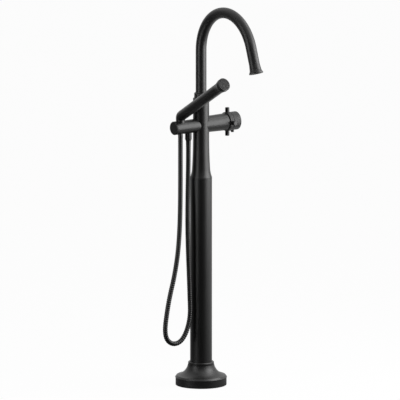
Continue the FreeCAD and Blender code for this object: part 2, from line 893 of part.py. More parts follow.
hose_nut_radius = size("hose_nut_radius")
bush_bore = hose_nut_radius + reveal
bush_top = arm_top - seat_depth
bush_mouth_foot = bush_top - size("bush_mouth_depth")
bush_blank = turned("bush_blank", [
    (bush_bore, arm_foot),
    (bush_radius, arm_foot),
    (bush_radius, bush_top),
    (size("bush_mouth_radius"), bush_top),
    (size("bush_mouth_radius"), bush_mouth_foot),
    (bush_bore, bush_mouth_foot - size("bush_cone")),
])
bush_blank.Placement.Base = FreeCAD.Vector(-holder_offset.value, 0, 0)
bind(bush_blank, "Placement.Base.x", -holder_offset)
arm_envelope = doc.addObject("Part::Cylinder", "arm_envelope")
bind(arm_envelope, "Radius", left_radius - size("bush_inset"))
bind(arm_envelope, "Height", left_end)
arm_envelope.Placement = FreeCAD.Placement(
    FreeCAD.Vector(-left_end.value, 0, valve_height.value), ALONG_X)
bind(arm_envelope, "Placement.Base.x", -left_end)
bind(arm_envelope, "Placement.Base.z", valve_height)
holder_bush = doc.addObject("Part::Common", "holder_bush")
holder_bush.Base = bush_blank
holder_bush.Tool = arm_envelope
sub_part(holder_bush, "holder_bush")


# --- thermostatic cartridge, flow handle and temperature knob ---------------------------
AT_VALVE = (ZERO, ZERO, valve_height)
cartridge_radius = core_bore - slip
cartridge_foot = core_bore_left
cartridge_top = core_right
cartridge_shoulder = cartridge_top - size("cartridge_head_length")
spindle_radius = size("spindle_radius")
spindle_foot = cartridge_top - size("spindle_depth")
seal_round = size("cartridge_seal_round")
seal_pitch = size("cartridge_seal_place")
low_seal = cartridge_foot + seal_pitch
high_seal = cartridge_shoulder - seal_pitch
seal_radius = core_bore - seal_round
seal_bed = cartridge_radius - seal_round * 2

cartridge = turned("thermostatic_cartridge", [
    (0, cartridge_foot),
    (cartridge_radius, cartridge_foot),
    (cartridge_radius, low_seal - seal_round),
    (seal_bed, low_seal - seal_round),
    (seal_bed, low_seal + seal_round),
    (cartridge_radius, low_seal + seal_round),
    (cartridge_radius, high_seal - seal_round),
    (seal_bed, high_seal - seal_round),
    (seal_bed, high_seal + seal_round),
    (cartridge_radius, high_seal + seal_round),
    (cartridge_radius, cartridge_shoulder),
    (size("cartridge_head_radius"), cartridge_shoulder),
    (size("cartridge_head_radius"), cartridge_top),
    (spindle_radius + running, cartridge_top),
    (spindle_radius + running, spindle_foot - reveal),
    (0, spindle_foot - reveal),
])
sub_part(cartridge, "thermostatic_cartridge", AT_VALVE, ALONG_X)


cartridge_seals = seal_rings("cartridge_seals", seal_radius, seal_round, [low_seal, high_seal])
sub_part(cartridge_seals, "cartridge_seals", AT_VALVE, ALONG_X)

sleeve_radius = size("sleeve_radius")
nut_end = core_right + size("cartridge_nut_length")
cartridge_nut = turned("cartridge_nut", [
    (sleeve_radius + running, core_right),
    (core_radius, core_right),
    (core_radius, nut_end),
    (sleeve_radius + running, nut_end),
])
sub_part(cartridge_nut, "cartridge_nut", AT_VALVE, ALONG_X)

handle_start = right_end + size("handle_gap")
handle_end = handle_start + size("handle_length")
handle_radius = size("handle_radius")
handle_chamfer = size("handle_chamfer")
handle_middle = handle_start + size("handle_length") / 2
sleeve_foot = core_right + reveal
sleeve_end = handle_end - size("sleeve_short")
flow_sleeve = turned("flow_sleeve", [
    (size("sleeve_bore"), sleeve_foot),
    (sleeve_radius, sleeve_foot),
    (sleeve_radius, sleeve_end),
    (size("sleeve_bore"), sleeve_end),
])
sub_part(flow_sleeve, "flow_sleeve", AT_VALVE, ALONG_X)

pin_radius = size("pin_radius")
pin_reach = size("pin_reach")
pin_root = size("pin_root")
pin_chamfer = size("pin_chamfer")
handle_ring = turned("handle_ring", [
    (sleeve_radius + slip, handle_start),
    (handle_radius - handle_chamfer, handle_start),
    (handle_radius, handle_start + handle_chamfer),
    (handle_radius, handle_end - handle_chamfer),
    (handle_radius - handle_chamfer, handle_end),
    (sleeve_radius + slip, handle_end),
])
pin_hole = cut_circles(handle_ring, "pin_hole", "YZ_Plane", [(0, handle_middle, pin_radius + slip)],
                       handle_radius + overcut, handle_radius + overcut - pin_root)
around(handle_ring, "pin_holes", [pin_hole], HANDLE_PINS)
sub_part(handle_ring, "handle_ring", AT_VALVE, ALONG_X)

handle_pins = new_body("handle_pins")
handle_pins.AllowCompound = True
pin_shank = pad_circles(handle_pins, "pin_shank", "YZ_Plane", [(0, handle_middle, pin_radius)],
                        pin_root, pin_reach - pin_root - pin_chamfer)
pin_tip = pad_circles(handle_pins, "pin_tip", "YZ_Plane",
                      [(0, handle_middle, pin_radius - pin_chamfer)],
                      pin_reach - pin_chamfer, pin_chamfer)
around(handle_pins, "pins", [pin_shank, pin_tip], HANDLE_PINS)
sub_part(handle_pins, "handle_pins", AT_VALVE, ALONG_X)

knob_start = handle_end + size("knob_gap")
knob_end = knob_start + size("knob_length")
knob_radius = size("knob_radius")
knob_round = size("knob_round")
knob_inner = knob_radius - size("knob_wall")
knob_cap_radius = knob_radius - size("knob_cap_step")
cap_front = knob_end - size("knob_cap_inset")
web_front = cap_front - size("knob_cap_thickness")
web_back = web_front - size("knob_web")
knob_hub = size("knob_hub_radius")
knob_screw = size("knob_screw_radius")
knob_screw_head = size("knob_screw_head")
knob_screw_top = web_front
knob_screw_shoulder = web_front - size("knob_screw_head_height")
button_place = knob_start + size("button_inset")
button_radius = size("button_radius")
temperature_knob = turned("temperature_knob", [
    (knob_inner, knob_start),
    (knob_radius - knob_round, knob_start, knob_round, -1),
    (knob_radius, knob_start + knob_round),
    (knob_radius, knob_end - knob_round, knob_round, -1),
    (knob_radius - knob_round, knob_end),
    (knob_cap_radius + slip, knob_end),
    (knob_cap_radius + slip, web_front),
    (knob_screw_head + slip, web_front),
    (knob_screw_head + slip, knob_screw_shoulder),
    (knob_screw + slip, knob_screw_shoulder),
    (knob_screw + slip, web_back),
    (spindle_radius + slip, web_back),
    (spindle_radius + slip, knob_start + size("knob_hub_inset")),
    (knob_hub, knob_start + size("knob_hub_inset")),
    (knob_hub, web_back),
    (knob_inner, web_back),
])
cut_circles(temperature_knob, "button_hole", "YZ_Plane",
            [(0, button_place, button_radius + reveal)],
            knob_radius + overcut, size("knob_wall") + overcut * 2)
sub_part(temperature_knob, "temperature_knob", AT_VALVE, ALONG_X)

knob_cap = turned("knob_cap", [
    (0, web_front),
    (knob_cap_radius, web_front),
    (knob_cap_radius, cap_front - size("end_groove")),
    (knob_cap_radius - size("end_groove"), cap_front),
    (0, cap_front),
])
sub_part(knob_cap, "knob_cap", AT_VALVE, ALONG_X)

screw_end = web_back - size("spindle_depth")
temperature_spindle = turned("temperature_spindle", [
    (0, spindle_foot),
    (spindle_radius, spindle_foot),
    (spindle_radius, web_back),
    (knob_screw + slip, web_back),
    (knob_screw + slip, screw_end),
    (0, screw_end),
])
sub_part(temperature_spindle, "temperature_spindle", AT_VALVE, ALONG_X)

knob_fixing = turned("knob_screw", [
    (0, screw_end),
    (knob_screw, screw_end),
    (knob_screw, knob_screw_shoulder),
    (knob_screw_head, knob_screw_shoulder),
    (knob_screw_head, knob_screw_top),
    (0, knob_screw_top),
])
sub_part(knob_fixing, "knob_screw", AT_VALVE, ALONG_X)

button_reach = knob_radius + size("button_proud")
button_round = size("button_round")
flange_outer = knob_inner - size("button_flange_depth")
flange_inner = flange_outer - size("button_flange")
button_under = (button_place, ZERO, valve_height)
safety_button = turned("safety_button", [
    (0, flange_inner),
    (size("button_flange_radius"), flange_inner),
    (size("button_flange_radius"), flange_outer),
    (button_radius, flange_outer),
    (button_radius, button_reach - button_round, button_round, -1),
    (button_radius - button_round, button_reach),
    (0, button_reach),
])
sub_part(safety_button, "safety_button", button_under, ALONG_DOWN)

spring_wire = size("button_spring_wire")
button_spring = turned("button_spring", [
    (button_radius - spring_wire * 2, knob_hub + reveal),
    (button_radius - spring_wire, knob_hub + reveal),
    (button_radius - spring_wire, flange_inner),
    (button_radius - spring_wire * 2, flange_inner),
])
sub_part(button_spring, "button_spring", button_under, ALONG_DOWN)


# --- spout ------------------------------------------------------------------------------
spout_bore = spout_radius - size("spout_wall")
bend_height = body_top + size("spout_bend_rise")
bend_radius = size("spout_bend_radius")
bend_angle = size("spout_bend_angle")
spout_tail = size("spout_tail")
bush_foot = septum_top + riser_flange
spout_foot = bush_foot + reveal
skirt_foot = body_top - size("collar_skirt")

swivel_bush = turned("swivel_bush", [
    (spout_radius + running, bush_foot),
    (swivel_bore - slip, bush_foot),
    (swivel_bore - slip, skirt_foot),
    (spout_radius + running, skirt_foot),
])
sub_part(swivel_bush, "swivel_bush")

collar_radius = spout_radius + size("collar_step")
collar_groove_radius = collar_radius - size("collar_groove_depth")
collar_top = body_top + size("collar_height")
collar_chamfer = size("collar_chamfer")
collar_groove_top = body_top + size("collar_groove")
limit_screw_radius = size("limit_screw_radius")
limit_screw_height = (collar_groove_top + collar_top - collar_chamfer) / 2
limit_screw_outer = collar_radius - size("limit_screw_sink")
neck_collar = turned("neck_collar", [
    (spout_radius + reveal, skirt_foot),
    (swivel_bore - slip, skirt_foot),
    (swivel_bore - slip, body_top),
    (collar_groove_radius, body_top),
    (collar_groove_radius, collar_groove_top),
    (collar_radius, collar_groove_top),
    (collar_radius, collar_top - collar_chamfer),
    (collar_radius - collar_chamfer, collar_top),
    (spout_radius + reveal, collar_top),
])
cut_circles(neck_collar, "limit_screw_hole", "XZ_Plane",
            [(0, limit_screw_height, limit_screw_radius + slip)],
            -collar_radius - overcut, collar_radius + overcut - spout_radius, back=True)
sub_part(neck_collar, "neck_collar")

limit_screw = new_body("limit_screw")
pad_circles(limit_screw, "limit_screw_bar", "XZ_Plane", [(0, limit_screw_height, limit_screw_radius)],
            -limit_screw_outer, size("limit_screw_length"))
sub_part(limit_screw, "limit_screw")

spout_tube = new_body("spout_tube")
spout_ring = sketch_on(spout_tube, "XY_Plane", "spout_ring", spout_foot)
circle(spout_ring, 0, 0, spout_radius)
circle(spout_ring, 0, 0, spout_bore)
spout_path = sketch_on(spout_tube, "YZ_Plane", "spout_path")
foot_point = FreeCAD.Vector(0, spout_foot.value, 0)
bend_point = FreeCAD.Vector(0, bend_height.value, 0)
bend_centre = FreeCAD.Vector(-bend_radius.value, bend_height.value, 0)
sweep = math.radians(bend_angle.value)
tail_start = bend_centre + FreeCAD.Vector(math.cos(sweep), math.sin(sweep), 0) * bend_radius.value
tail_way = FreeCAD.Vector(-math.sin(sweep), math.cos(sweep), 0)
bend_circle = Part.Circle(bend_centre, FreeCAD.Vector(0, 0, 1), bend_radius.value)
tail_end = tail_start + tail_way * spout_tail.value
spout_path.addGeometry(Part.LineSegment(foot_point, bend_point), False)
spout_path.addGeometry(Part.ArcOfCircle(bend_circle, 0, sweep), False)
spout_path.addGeometry(Part.LineSegment(tail_start, tail_end), False)
pin_point(spout_path, 0, 1, (ZERO, spout_foot))
pin_point(spout_path, 0, 2, (ZERO, bend_height))
spout_path.addConstraint(Sketcher.Constraint("Coincident", 1, 1, 0, 2))
pin_point(spout_path, 1, 3, (-bend_radius, bend_height))
spout_path.addConstraint(Sketcher.Constraint("Tangent", 1, 2, 2, 1))
tail_start_at = (bend_radius * (cosine(bend_angle) - 1), bend_height + bend_radius * sine(bend_angle))
tail_end_at = (tail_start_at[0] - spout_tail * sine(bend_angle),
               tail_start_at[1] + spout_tail * cosine(bend_angle))
pin_point(spout_path, 2, 2, tail_end_at)
spout_sweep = spout_tube.newObject("PartDesign::AdditivePipe", "spout_sweep")
spout_sweep.Profile = spout_ring
spout_sweep.Spine = (spout_path, ["Edge1", "Edge2", "Edge3"])
doc.recompute()

spout_seal_round = size("spout_seal_round")
seal_groove_radius = spout_radius - spout_seal_round * 2 - slip
low_spout_seal = spout_foot + size("spout_seal_place")
high_spout_seal = low_spout_seal + size("spout_seal_pitch")
before_grooves = spout_tube.Shape.Volume
for place_name, height in (("low", low_spout_seal), ("high", high_spout_seal)):
    groove_sketch = sketch_on(spout_tube, "XZ_Plane", f"{place_name}_seal_groove_profile")
    outline(groove_sketch, [
        (seal_groove_radius, height - spout_seal_round),
        (spout_radius + overcut, height - spout_seal_round),
        (spout_radius + overcut, height + spout_seal_round),
        (seal_groove_radius, height + spout_seal_round),
    ])
    groove = spout_tube.newObject("PartDesign::Groove", f"{place_name}_seal_groove")
    groove.Profile = groove_sketch
    groove.ReferenceAxis = (groove_sketch, ["V_Axis"])
    groove.Angle = 360
    doc.recompute()
if not spout_tube.Shape.Volume < before_grooves - 1:
    raise RuntimeError("the seal grooves cut nothing")
sub_part(spout_tube, "spout_tube")

spout_seals = seal_rings("spout_seals", spout_radius - spout_seal_round - slip / 2, spout_seal_round,
                         [low_spout_seal, high_spout_seal])
sub_part(spout_seals, "spout_seals")

AT_TAIL = (ZERO, tail_start_at[0], tail_start_at[1])
outlet_waist = spout_tail + size("outlet_waist_length")
outlet_end = spout_tail + size("outlet_length")
outlet_lip = outlet_end - size("outlet_lip_height")
outlet_lip_radius = spout_radius + size("outlet_lip_step")
mouth_radius = spout_radius - size("outlet_mouth_inset")
aerator_end = outlet_end - size("aerator_depth")
aerator_foot = aerator_end - size("aerator_length")
aerator_seal_height = size("aerator_seal_height")
seal_foot = aerator_foot - aerator_seal_height
outlet_spigot_radius = spout_bore - slip
outlet_bore = outlet_spigot_radius - size("outlet_spigot_wall")
spout_outlet = turned("spout_outlet", [
    (outlet_bore, spout_tail - size("outlet_spigot")),
    (outlet_spigot_radius, spout_tail - size("outlet_spigot")),
    (outlet_spigot_radius, spout_tail),
    (spout_radius, spout_tail),
    (spout_radius + size("outlet_waist_step"), outlet_waist, size("outlet_cove_round"), 1),
    (outlet_lip_radius, outlet_lip),
    (outlet_lip_radius, outlet_end),
    (mouth_radius, outlet_end),
    (mouth_radius, seal_foot),
    (outlet_bore, seal_foot),
])
sub_part(spout_outlet, "spout_outlet", AT_TAIL, lean=bend_angle)

aerator_radius = mouth_radius - slip
aerator_seal = turned("aerator_seal", [
    (outlet_bore, seal_foot),
    (aerator_radius, seal_foot),
    (aerator_radius, aerator_foot),
    (outlet_bore, aerator_foot),
])
sub_part(aerator_seal, "aerator_seal", AT_TAIL, lean=bend_angle)

aerator_inner = aerator_radius - size("aerator_wall")
aerator_housing = turned("aerator_housing", [
    (aerator_inner, aerator_foot),
    (aerator_radius, aerator_foot),
    (aerator_radius, aerator_end),
    (aerator_inner, aerator_end),
])
sub_part(aerator_housing, "aerator_housing", AT_TAIL, lean=bend_angle)

screen_radius = aerator_inner - slip
screen_end = aerator_end - reveal
screen_foot = screen_end - size("aerator_screen_thickness")
aerator_hole = size("aerator_hole")
aerator_pitch = size("aerator_hole_pitch")
aerator_screen = new_body("aerator_screen")
pad_circles(aerator_screen, "screen_disc", "XY_Plane", [(0, 0, screen_radius)],
            screen_foot, screen_end - screen_foot)
cut_circles(aerator_screen, "screen_middle_hole", "XY_Plane", [(0, 0, aerator_hole)],
            screen_end + overcut, screen_end - screen_foot + overcut * 2)
for ring_number in (1, 2):
    ring_hole = cut_circles(
        aerator_screen, f"screen_hole_{ring_number}", "XY_Plane",
        [(aerator_pitch * ring_number, 0, aerator_hole)],
        screen_end + overcut, screen_end - screen_foot + overcut * 2)
    around(aerator_screen, f"screen_holes_{ring_number}", [ring_hole], 6 * ring_number)
sub_part(aerator_screen, "aerator_screen", AT_TAIL, lean=bend_angle)


# --- hand shower ------------------------------------------------------------------------
neck_radius = size("neck_radius")
lean = size("stick_angle")
elbow_bend = size("elbow_bend_radius")
neck_foot = arm_top + size("hose_nut_proud")
elbow_skirt_foot = arm_top - size("skirt_depth")
elbow_foot = arm_top + size("neck_rise")
elbow_reach = elbow_bend * sine(lean / 2) / cosine(lean / 2)
stick_cross = elbow_foot + elbow_reach
stick_radius = size("stick_radius")
stick_head_radius = size("stick_head_radius")
stick_wall = size("stick_wall")
head_start = size("head_start")
head_radius = size("head_radius")
head_wall = size("head_wall")
head_round = size("head_round")
ring_start = head_start + size("head_flare_length")
head_face = ring_start + size("head_ring_length")
tube_radius = size("tube_radius")
hose_bore = size("hose_bore")
elbow_spigot = size("elbow_spigot")
ON_STICK = (-holder_offset, ZERO, stick_cross)
ELBOW_SECTIONS = 8

shower_stick = turned("shower_stick", [
    (stick_radius - stick_wall, elbow_reach),
    (stick_radius, elbow_reach),
    (stick_head_radius, head_start),
    (stick_head_radius - stick_wall, head_start),
])
sub_part(shower_stick, "shower_stick", ON_STICK, lean=lean)


def elbow_point(turn):
    """The place and the way of the elbow's centre line after a turn in degrees."""
    angle = math.radians(turn)
    reach = elbow_bend.value
    centre = FreeCAD.Vector(0, reach * (math.cos(angle) - 1), reach * math.sin(angle))
    return centre, FreeCAD.Vector(0, -math.sin(angle), math.cos(angle))


def elbow_loft(radius_at):
    """A round solid along the elbow, whose radius follows the share of the turn."""
    wires = []
    for section in range(ELBOW_SECTIONS + 1):
        share = section / ELBOW_SECTIONS
        centre, way = elbow_point(lean.value * share)
        wires.append(upright_circle(radius_at(share), centre, way))
    return Part.makeLoft(wires, True, False)


def swell(share):
    """The elbow's outer radius, from the skirt to the stick."""
    growth = stick_radius.value - skirt_radius.value
    return skirt_radius.value + growth * math.sin(share * math.pi / 2)


def make_elbow():
    """The skirt round the hose nut, the swelling elbow and the spigot that holds the stick,
    with its waterway."""
    down = FreeCAD.Vector(0, 0, -1)
    skirt_length = elbow_foot.value - elbow_skirt_foot.value
    neck_length = elbow_foot.value - neck_foot.value
    spigot_radius_here = stick_radius.value - stick_wall.value - slip.value
    stick_start, stick_way = elbow_point(lean.value)
    skirt = Part.makeCylinder(skirt_radius.value, skirt_length, down * skirt_length)
    spigot = Part.makeCylinder(spigot_radius_here, elbow_spigot.value, stick_start, stick_way)
    solid = elbow_loft(swell).fuse([skirt, spigot])
    waterway = elbow_loft(lambda share: hose_bore.value)
    neck_hole = Part.makeCylinder(hose_bore.value, neck_length, down * neck_length)
    nut_room = Part.makeCylinder(bush_bore.value, skirt_length - neck_length,
                                 down * skirt_length)
    socket = Part.makeCylinder(tube_radius.value + slip.value, elbow_spigot.value,
                               stick_start, stick_way)
    return solid.cut(waterway).cut(neck_hole).cut(nut_room).cut(socket)


shower_elbow = doc.addObject("Part::Feature", "shower_elbow")
shower_elbow.Shape = make_elbow()
sub_part(shower_elbow, "shower_elbow", (-holder_offset, ZERO, elbow_foot))

head_spigot_radius = stick_head_radius - stick_wall - slip * 2
head_spigot_bore = head_spigot_radius - size("head_spigot_wall")
head_spigot_foot = head_start - size("head_spigot")
head_shell = turned("head_shell", [
    (head_spigot_bore, head_spigot_foot),
    (head_spigot_radius, head_spigot_foot),
    (head_spigot_radius, head_start),
    (stick_head_radius, head_start, size("head_flare_round"), 1),
    (head_radius, ring_start),
    (head_radius - head_wall, ring_start),
    (head_spigot_bore, head_start),
])
sub_part(head_shell, "head_shell", ON_STICK, lean=lean)

groove_end = ring_start + size("head_groove_width")
lip_back = head_face - size("head_lip")
spray_radius = head_radius - size("spray_inset")
spray_back = lip_back - size("spray_thickness")
mat_back = spray_back - size("mat_thickness")
head_inner = head_radius - head_wall
head_ring = turned("head_ring", [
    (head_inner, ring_start),
    (head_radius - size("head_groove"), ring_start),
    (head_radius - size("head_groove"), groove_end),
    (head_radius, groove_end),
    (head_radius, head_face - head_round, head_round, -1),
    (head_radius - head_round, head_face),
    (spray_radius + slip, head_face),
    (spray_radius + slip, lip_back),
    (head_inner, lip_back),
])
sub_part(head_ring, "head_ring", ON_STICK, lean=lean)

nozzle_radius = size("nozzle_radius")
nozzle_end = head_face + size("spray_proud") + size("nozzle_proud")
spray_front = head_face + size("spray_proud")
spray_face = turned("spray_face", [
    (0, spray_back),
    (head_inner - slip, spray_back),
    (head_inner - slip, lip_back),
    (spray_radius, lip_back),
    (spray_radius, spray_front - size("end_groove")),
    (spray_radius - size("end_groove"), spray_front),
    (0, spray_front),
])
spray_mat = new_body("spray_mat")
pad_circles(spray_mat, "mat_disc", "XY_Plane", [(0, 0, head_inner - slip)],
            mat_back, spray_back - mat_back)
nozzle_pitch = (spray_radius - size("nozzle_inset")) / NOZZLE_RINGS
for ring_number in range(1, NOZZLE_RINGS + 1):
    ring_offset = nozzle_pitch * ring_number
    nozzle_hole = cut_circles(
        spray_face, f"nozzle_hole_{ring_number}", "XY_Plane",
        [(ring_offset, 0, nozzle_radius + slip)],
        spray_front + overcut, spray_front - spray_back + overcut * 2)
    around(spray_face, f"nozzle_holes_{ring_number}", [nozzle_hole], 6 * ring_number)
    nozzle = pad_circles(spray_mat, f"nozzle_{ring_number}", "XY_Plane",
                         [(ring_offset, 0, nozzle_radius)], mat_back, nozzle_end - mat_back)
    around(spray_mat, f"nozzles_{ring_number}", [nozzle], 6 * ring_number)
sub_part(spray_face, "spray_face", ON_STICK, lean=lean)
sub_part(spray_mat, "spray_mat", ON_STICK, lean=lean)

tube_end = head_spigot_foot + size("tube_ring_height")
water_tube = turned("water_tube", [
    (tube_radius - size("tube_wall"), elbow_reach),
    (tube_radius, elbow_reach),
    (tube_radius, tube_end),
    (tube_radius - size("tube_wall"), tube_end),
])
sub_part(water_tube, "water_tube", ON_STICK, lean=lean)

tube_ring = turned("tube_ring", [
    (tube_radius + slip, head_spigot_foot),
    (head_spigot_bore - slip, head_spigot_foot),
    (head_spigot_bore - slip, tube_end),
    (tube_radius + slip, tube_end),
])
sub_part(tube_ring, "tube_ring", ON_STICK, lean=lean)


# --- hose -------------------------------------------------------------------------------
hose_radius = size("hose_radius")
hose_top = arm_foot + size("hose_nut_inset")
hose_nut_shoulder = arm_top - size("hose_nut_collar")
hose_nut_foot_radius = size("hose_nut_foot_radius")
washer_foot = neck_foot - washer_height
AT_HOLDER = (-holder_offset, ZERO, ZERO)
hose_nut = turned("hose_nut", [
    (hose_bore, hose_top),
    (hose_nut_foot_radius, hose_top),
    (hose_nut_radius, hose_top + size("hose_nut_taper")),
    (hose_nut_radius, hose_nut_shoulder),
    (neck_radius, hose_nut_shoulder),
    (neck_radius, washer_foot),
    (hose_bore, washer_foot),
])
sub_part(hose_nut, "hose_nut", AT_HOLDER)

hose_washer = turned("hose_washer", [
    (hose_bore, washer_foot),
    (neck_radius - slip, washer_foot),
    (neck_radius - slip, neck_foot),
    (hose_bore, neck_foot),
])
sub_part(hose_washer, "hose_washer", AT_HOLDER)

# The hose hangs from the hand shower, swings out to -X, turns in a slanted bend above the
# floor and rises beside the column to the outlet. Its corners are given from the point of
# the holder's axis that lies level with the valve.
HOSE_ROUTE = [
    (0, 0.0, -16.0),
    (0, 0.0, -116.0),
    (-3.4, -4.0, -216.0),
    (-9.5, -9.0, -291.0),
    (-16.5, -10.5, -356.0),
    (-28.5, -10.5, -418.0),
    (-45, -10.0, -476.0),
    (-55.6, -10.0, -527.5),
    (-61.2, -10.0, -568.9),
    (-55, -10.0, -596.4),
    (-34.6, -10.0, -611.1),
    (-9.6, -10.0, -608.8),
    (8.7, -10.0, -589.6),
    (21, -10.0, -560.8),
    (26.8, -10.0, -528.4),
    (25.1, -10.0, -488.5),
    (22.8, -10.0, -428.0),
    (19, -10.0, -348.0),
    (18, -8.5, -263.0),
    (22.5, -4.0, -178.0),
    (27.1, 0.0, -98.0),
    (27.1, 0.0, -40.0),
]
# Shares of a run that its rounding takes, and of a rib's pitch at which the rib's foot,
# crest and fall lie.
ARC_SHARE = 0.45
RIB_FOOT, RIB_RISE, RIB_FALL = 0.12, 0.3, 0.82


def rounded_route():
    """The route as straight runs joined by arcs that touch both of their runs, and the
    radius of each arc."""
    start = FreeCAD.Vector(-holder_offset.value, 0, valve_height.value)
    corners = [start + FreeCAD.Vector(*point) for point in HOSE_ROUTE]
    edges, radii = [], []
    here = corners[0]
    for before, corner, after in zip(corners, corners[1:], corners[2:]):
        back, ahead = before - corner, after - corner
        reach = ARC_SHARE * min(back.Length, ahead.Length)
        half_turn = (math.pi - back.getAngle(ahead)) / 2
        radius = reach / math.tan(half_turn)
        enter = corner + back.normalize() * reach
        leave = corner + ahead.normalize() * reach
        bisector = (back + ahead).normalize()
        middle = corner + bisector * (radius / math.cos(half_turn) - radius)
        edges += [Part.LineSegment(here, enter).toShape(), Part.Arc(enter, middle, leave).toShape()]
        radii.append(radius)
        here = leave
    edges.append(Part.LineSegment(here, corners[-1]).toShape())
    return edges, radii


def along(edges, distance):
    """The place and the way at a distance along the route's edges."""
    for edge in edges[:-1]:
        if distance <= edge.Length:
            break
        distance -= edge.Length
    else:
        edge = edges[-1]
    spot = edge.getParameterByLength(min(distance, edge.Length))
    return edge.valueAt(spot), edge.tangentAt(spot)


def make_hose():
    """The ribbed hose with its bore, between two plain cuffs."""
    edges, radii = rounded_route()
    length = sum(edge.Length for edge in edges)
    print("hose length", round(length, 1), "arc radii", [round(radius, 1) for radius in radii])
    cuff = size("hose_cuff").value
    ridge = hose_radius.value
    valley = ridge - size("rib_depth").value
    bore = hose_bore.value
    pitch = (length - 2 * cuff) / HOSE_RIBS
    stations = [(0.0, ridge), (cuff, ridge)]
    for rib in range(HOSE_RIBS):
        foot = cuff + rib * pitch
        stations += [(foot + pitch * share, radius) for share, radius in
                     ((RIB_FOOT, valley), (RIB_RISE, ridge), (RIB_FALL, ridge), (1.0, valley))]
    stations += [(length - cuff + pitch * RIB_FOOT, ridge), (length, ridge)]
    skin = Part.makeLoft([hose_circle(edges, spot, radius) for spot, radius in stations],
                         False, True)
    lining = Part.makeLoft([hose_circle(edges, spot, bore) for spot, radius in stations[::4]]
                           + [hose_circle(edges, length, bore)], False, True)
    ends = []
    for spot in (0.0, length):
        rims = [hose_circle(edges, spot, radius) for radius in (ridge, bore)]
        ends.append(Part.makeRuledSurface(rims[0], rims[1]))
    shell = Part.makeShell(skin.Faces + lining.Faces + [face for end in ends for face in end.Faces])
    shell.sewShape()
    solid = Part.makeSolid(Part.makeShell(shell.Faces))
    if solid.Volume < 0:
        solid.reverse()
    tube = math.pi * (ridge ** 2 - bore ** 2) * length
    print("hose volume", round(solid.Volume), "of a plain tube's", round(tube))
    return solid


def hose_circle(edges, distance, radius):
    """A round wire square to the route at a distance along it."""
    centre, way = along(edges, distance)
    steady = FreeCAD.Vector(0, 1, 0)
    across = (steady - way * way.dot(steady)).normalize()
    return upright_circle(radius, centre, way, across)


hose = doc.addObject("Part::Feature", "hose")
hose.Shape = make_hose()
sub_part(hose, "hose")


# --- checks and export ------------------------------------------------------------------
doc.recompute()
for thing in doc.Objects:
    if "Invalid" in thing.State or "Error" in thing.State:
        raise RuntimeError(f"{thing.Name} failed: {thing.State}")
for piece in PARTS:
    if piece.Shape.isNull() or not piece.Shape.isValid():
        raise RuntimeError(f"{piece.Label} has no sound shape")
os.makedirs("parts", exist_ok=True)
for piece in PARTS:
    piece.Shape.exportStep(f"parts/{piece.Label}.step")
print(len(PARTS), "parts written")
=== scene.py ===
"""Dresses the floor standing bath filler: turned shells, gooseneck, hand shower and hose.

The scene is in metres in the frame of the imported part: +Z up, the valve along X, the spout
and the hand shower towards -Y. The sizes of the pieces are in millimetres.
"""

import bisect
import json
import logging
import math
from dataclasses import dataclass
from enum import Enum
from typing import ClassVar, Iterable, Sequence

import bmesh
import bpy
from mathutils import Matrix, Vector


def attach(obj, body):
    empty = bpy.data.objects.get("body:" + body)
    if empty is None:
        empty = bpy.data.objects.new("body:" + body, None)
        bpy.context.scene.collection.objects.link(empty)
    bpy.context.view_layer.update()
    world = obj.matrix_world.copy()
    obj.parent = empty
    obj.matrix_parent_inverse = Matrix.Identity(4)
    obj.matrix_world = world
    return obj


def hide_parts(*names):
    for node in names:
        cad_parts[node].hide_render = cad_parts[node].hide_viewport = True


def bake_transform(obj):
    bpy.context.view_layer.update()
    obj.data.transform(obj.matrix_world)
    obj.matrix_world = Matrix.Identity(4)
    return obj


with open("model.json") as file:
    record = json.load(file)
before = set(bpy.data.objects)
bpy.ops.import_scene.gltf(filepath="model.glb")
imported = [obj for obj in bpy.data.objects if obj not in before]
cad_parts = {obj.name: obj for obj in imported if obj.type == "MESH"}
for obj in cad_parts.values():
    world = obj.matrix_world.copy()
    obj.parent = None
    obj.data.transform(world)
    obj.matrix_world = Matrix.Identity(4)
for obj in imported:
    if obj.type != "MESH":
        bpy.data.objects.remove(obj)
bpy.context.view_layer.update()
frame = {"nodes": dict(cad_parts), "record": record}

LOG = logging.getLogger("bath_filler")
MM = 0.001
VALVE_HEIGHT = 738.0
SLIP = 0.1
WELD = 0.0001
NODE_WELD = 0.0005
SHARP_ANGLE = 34.0
FINE_STEPS = 160
WHITE = (1.0, 1.0, 1.0)
BLACK = (0.0, 0.0, 0.0)

Triple = tuple[float, float, float]
Step = tuple[float, float]


class Side(Enum):
    """Which way an arc of an outline bulges, seen along the outline's way."""

    LEFT = 1.0
    RIGHT = -1.0


class Body(Enum):
    """The bodies that pieces ride on."""

    ROOT = "root"
    SPOUT = "spout"
    FLOW = "flow_handle"
    HEAT = "temperature_control"
    BUTTON = "stop_button"
    HOSE_END = "hose_end"
    SHOWER = "hand_shower"


# --- shader values ---
@dataclass(frozen=True)
class Value:
    """A node tree's output socket that takes part in sums."""

    shader: "Shader"
    socket: bpy.types.NodeSocket

    def __add__(self, other: object) -> "Value":
        """The sum."""
        return self.shader.math("ADD", self, other)

    def __sub__(self, other: object) -> "Value":
        """The difference."""
        return self.shader.math("SUBTRACT", self, other)

    def __mul__(self, other: object) -> "Value":
        """The product."""
        return self.shader.math("MULTIPLY", self, other)


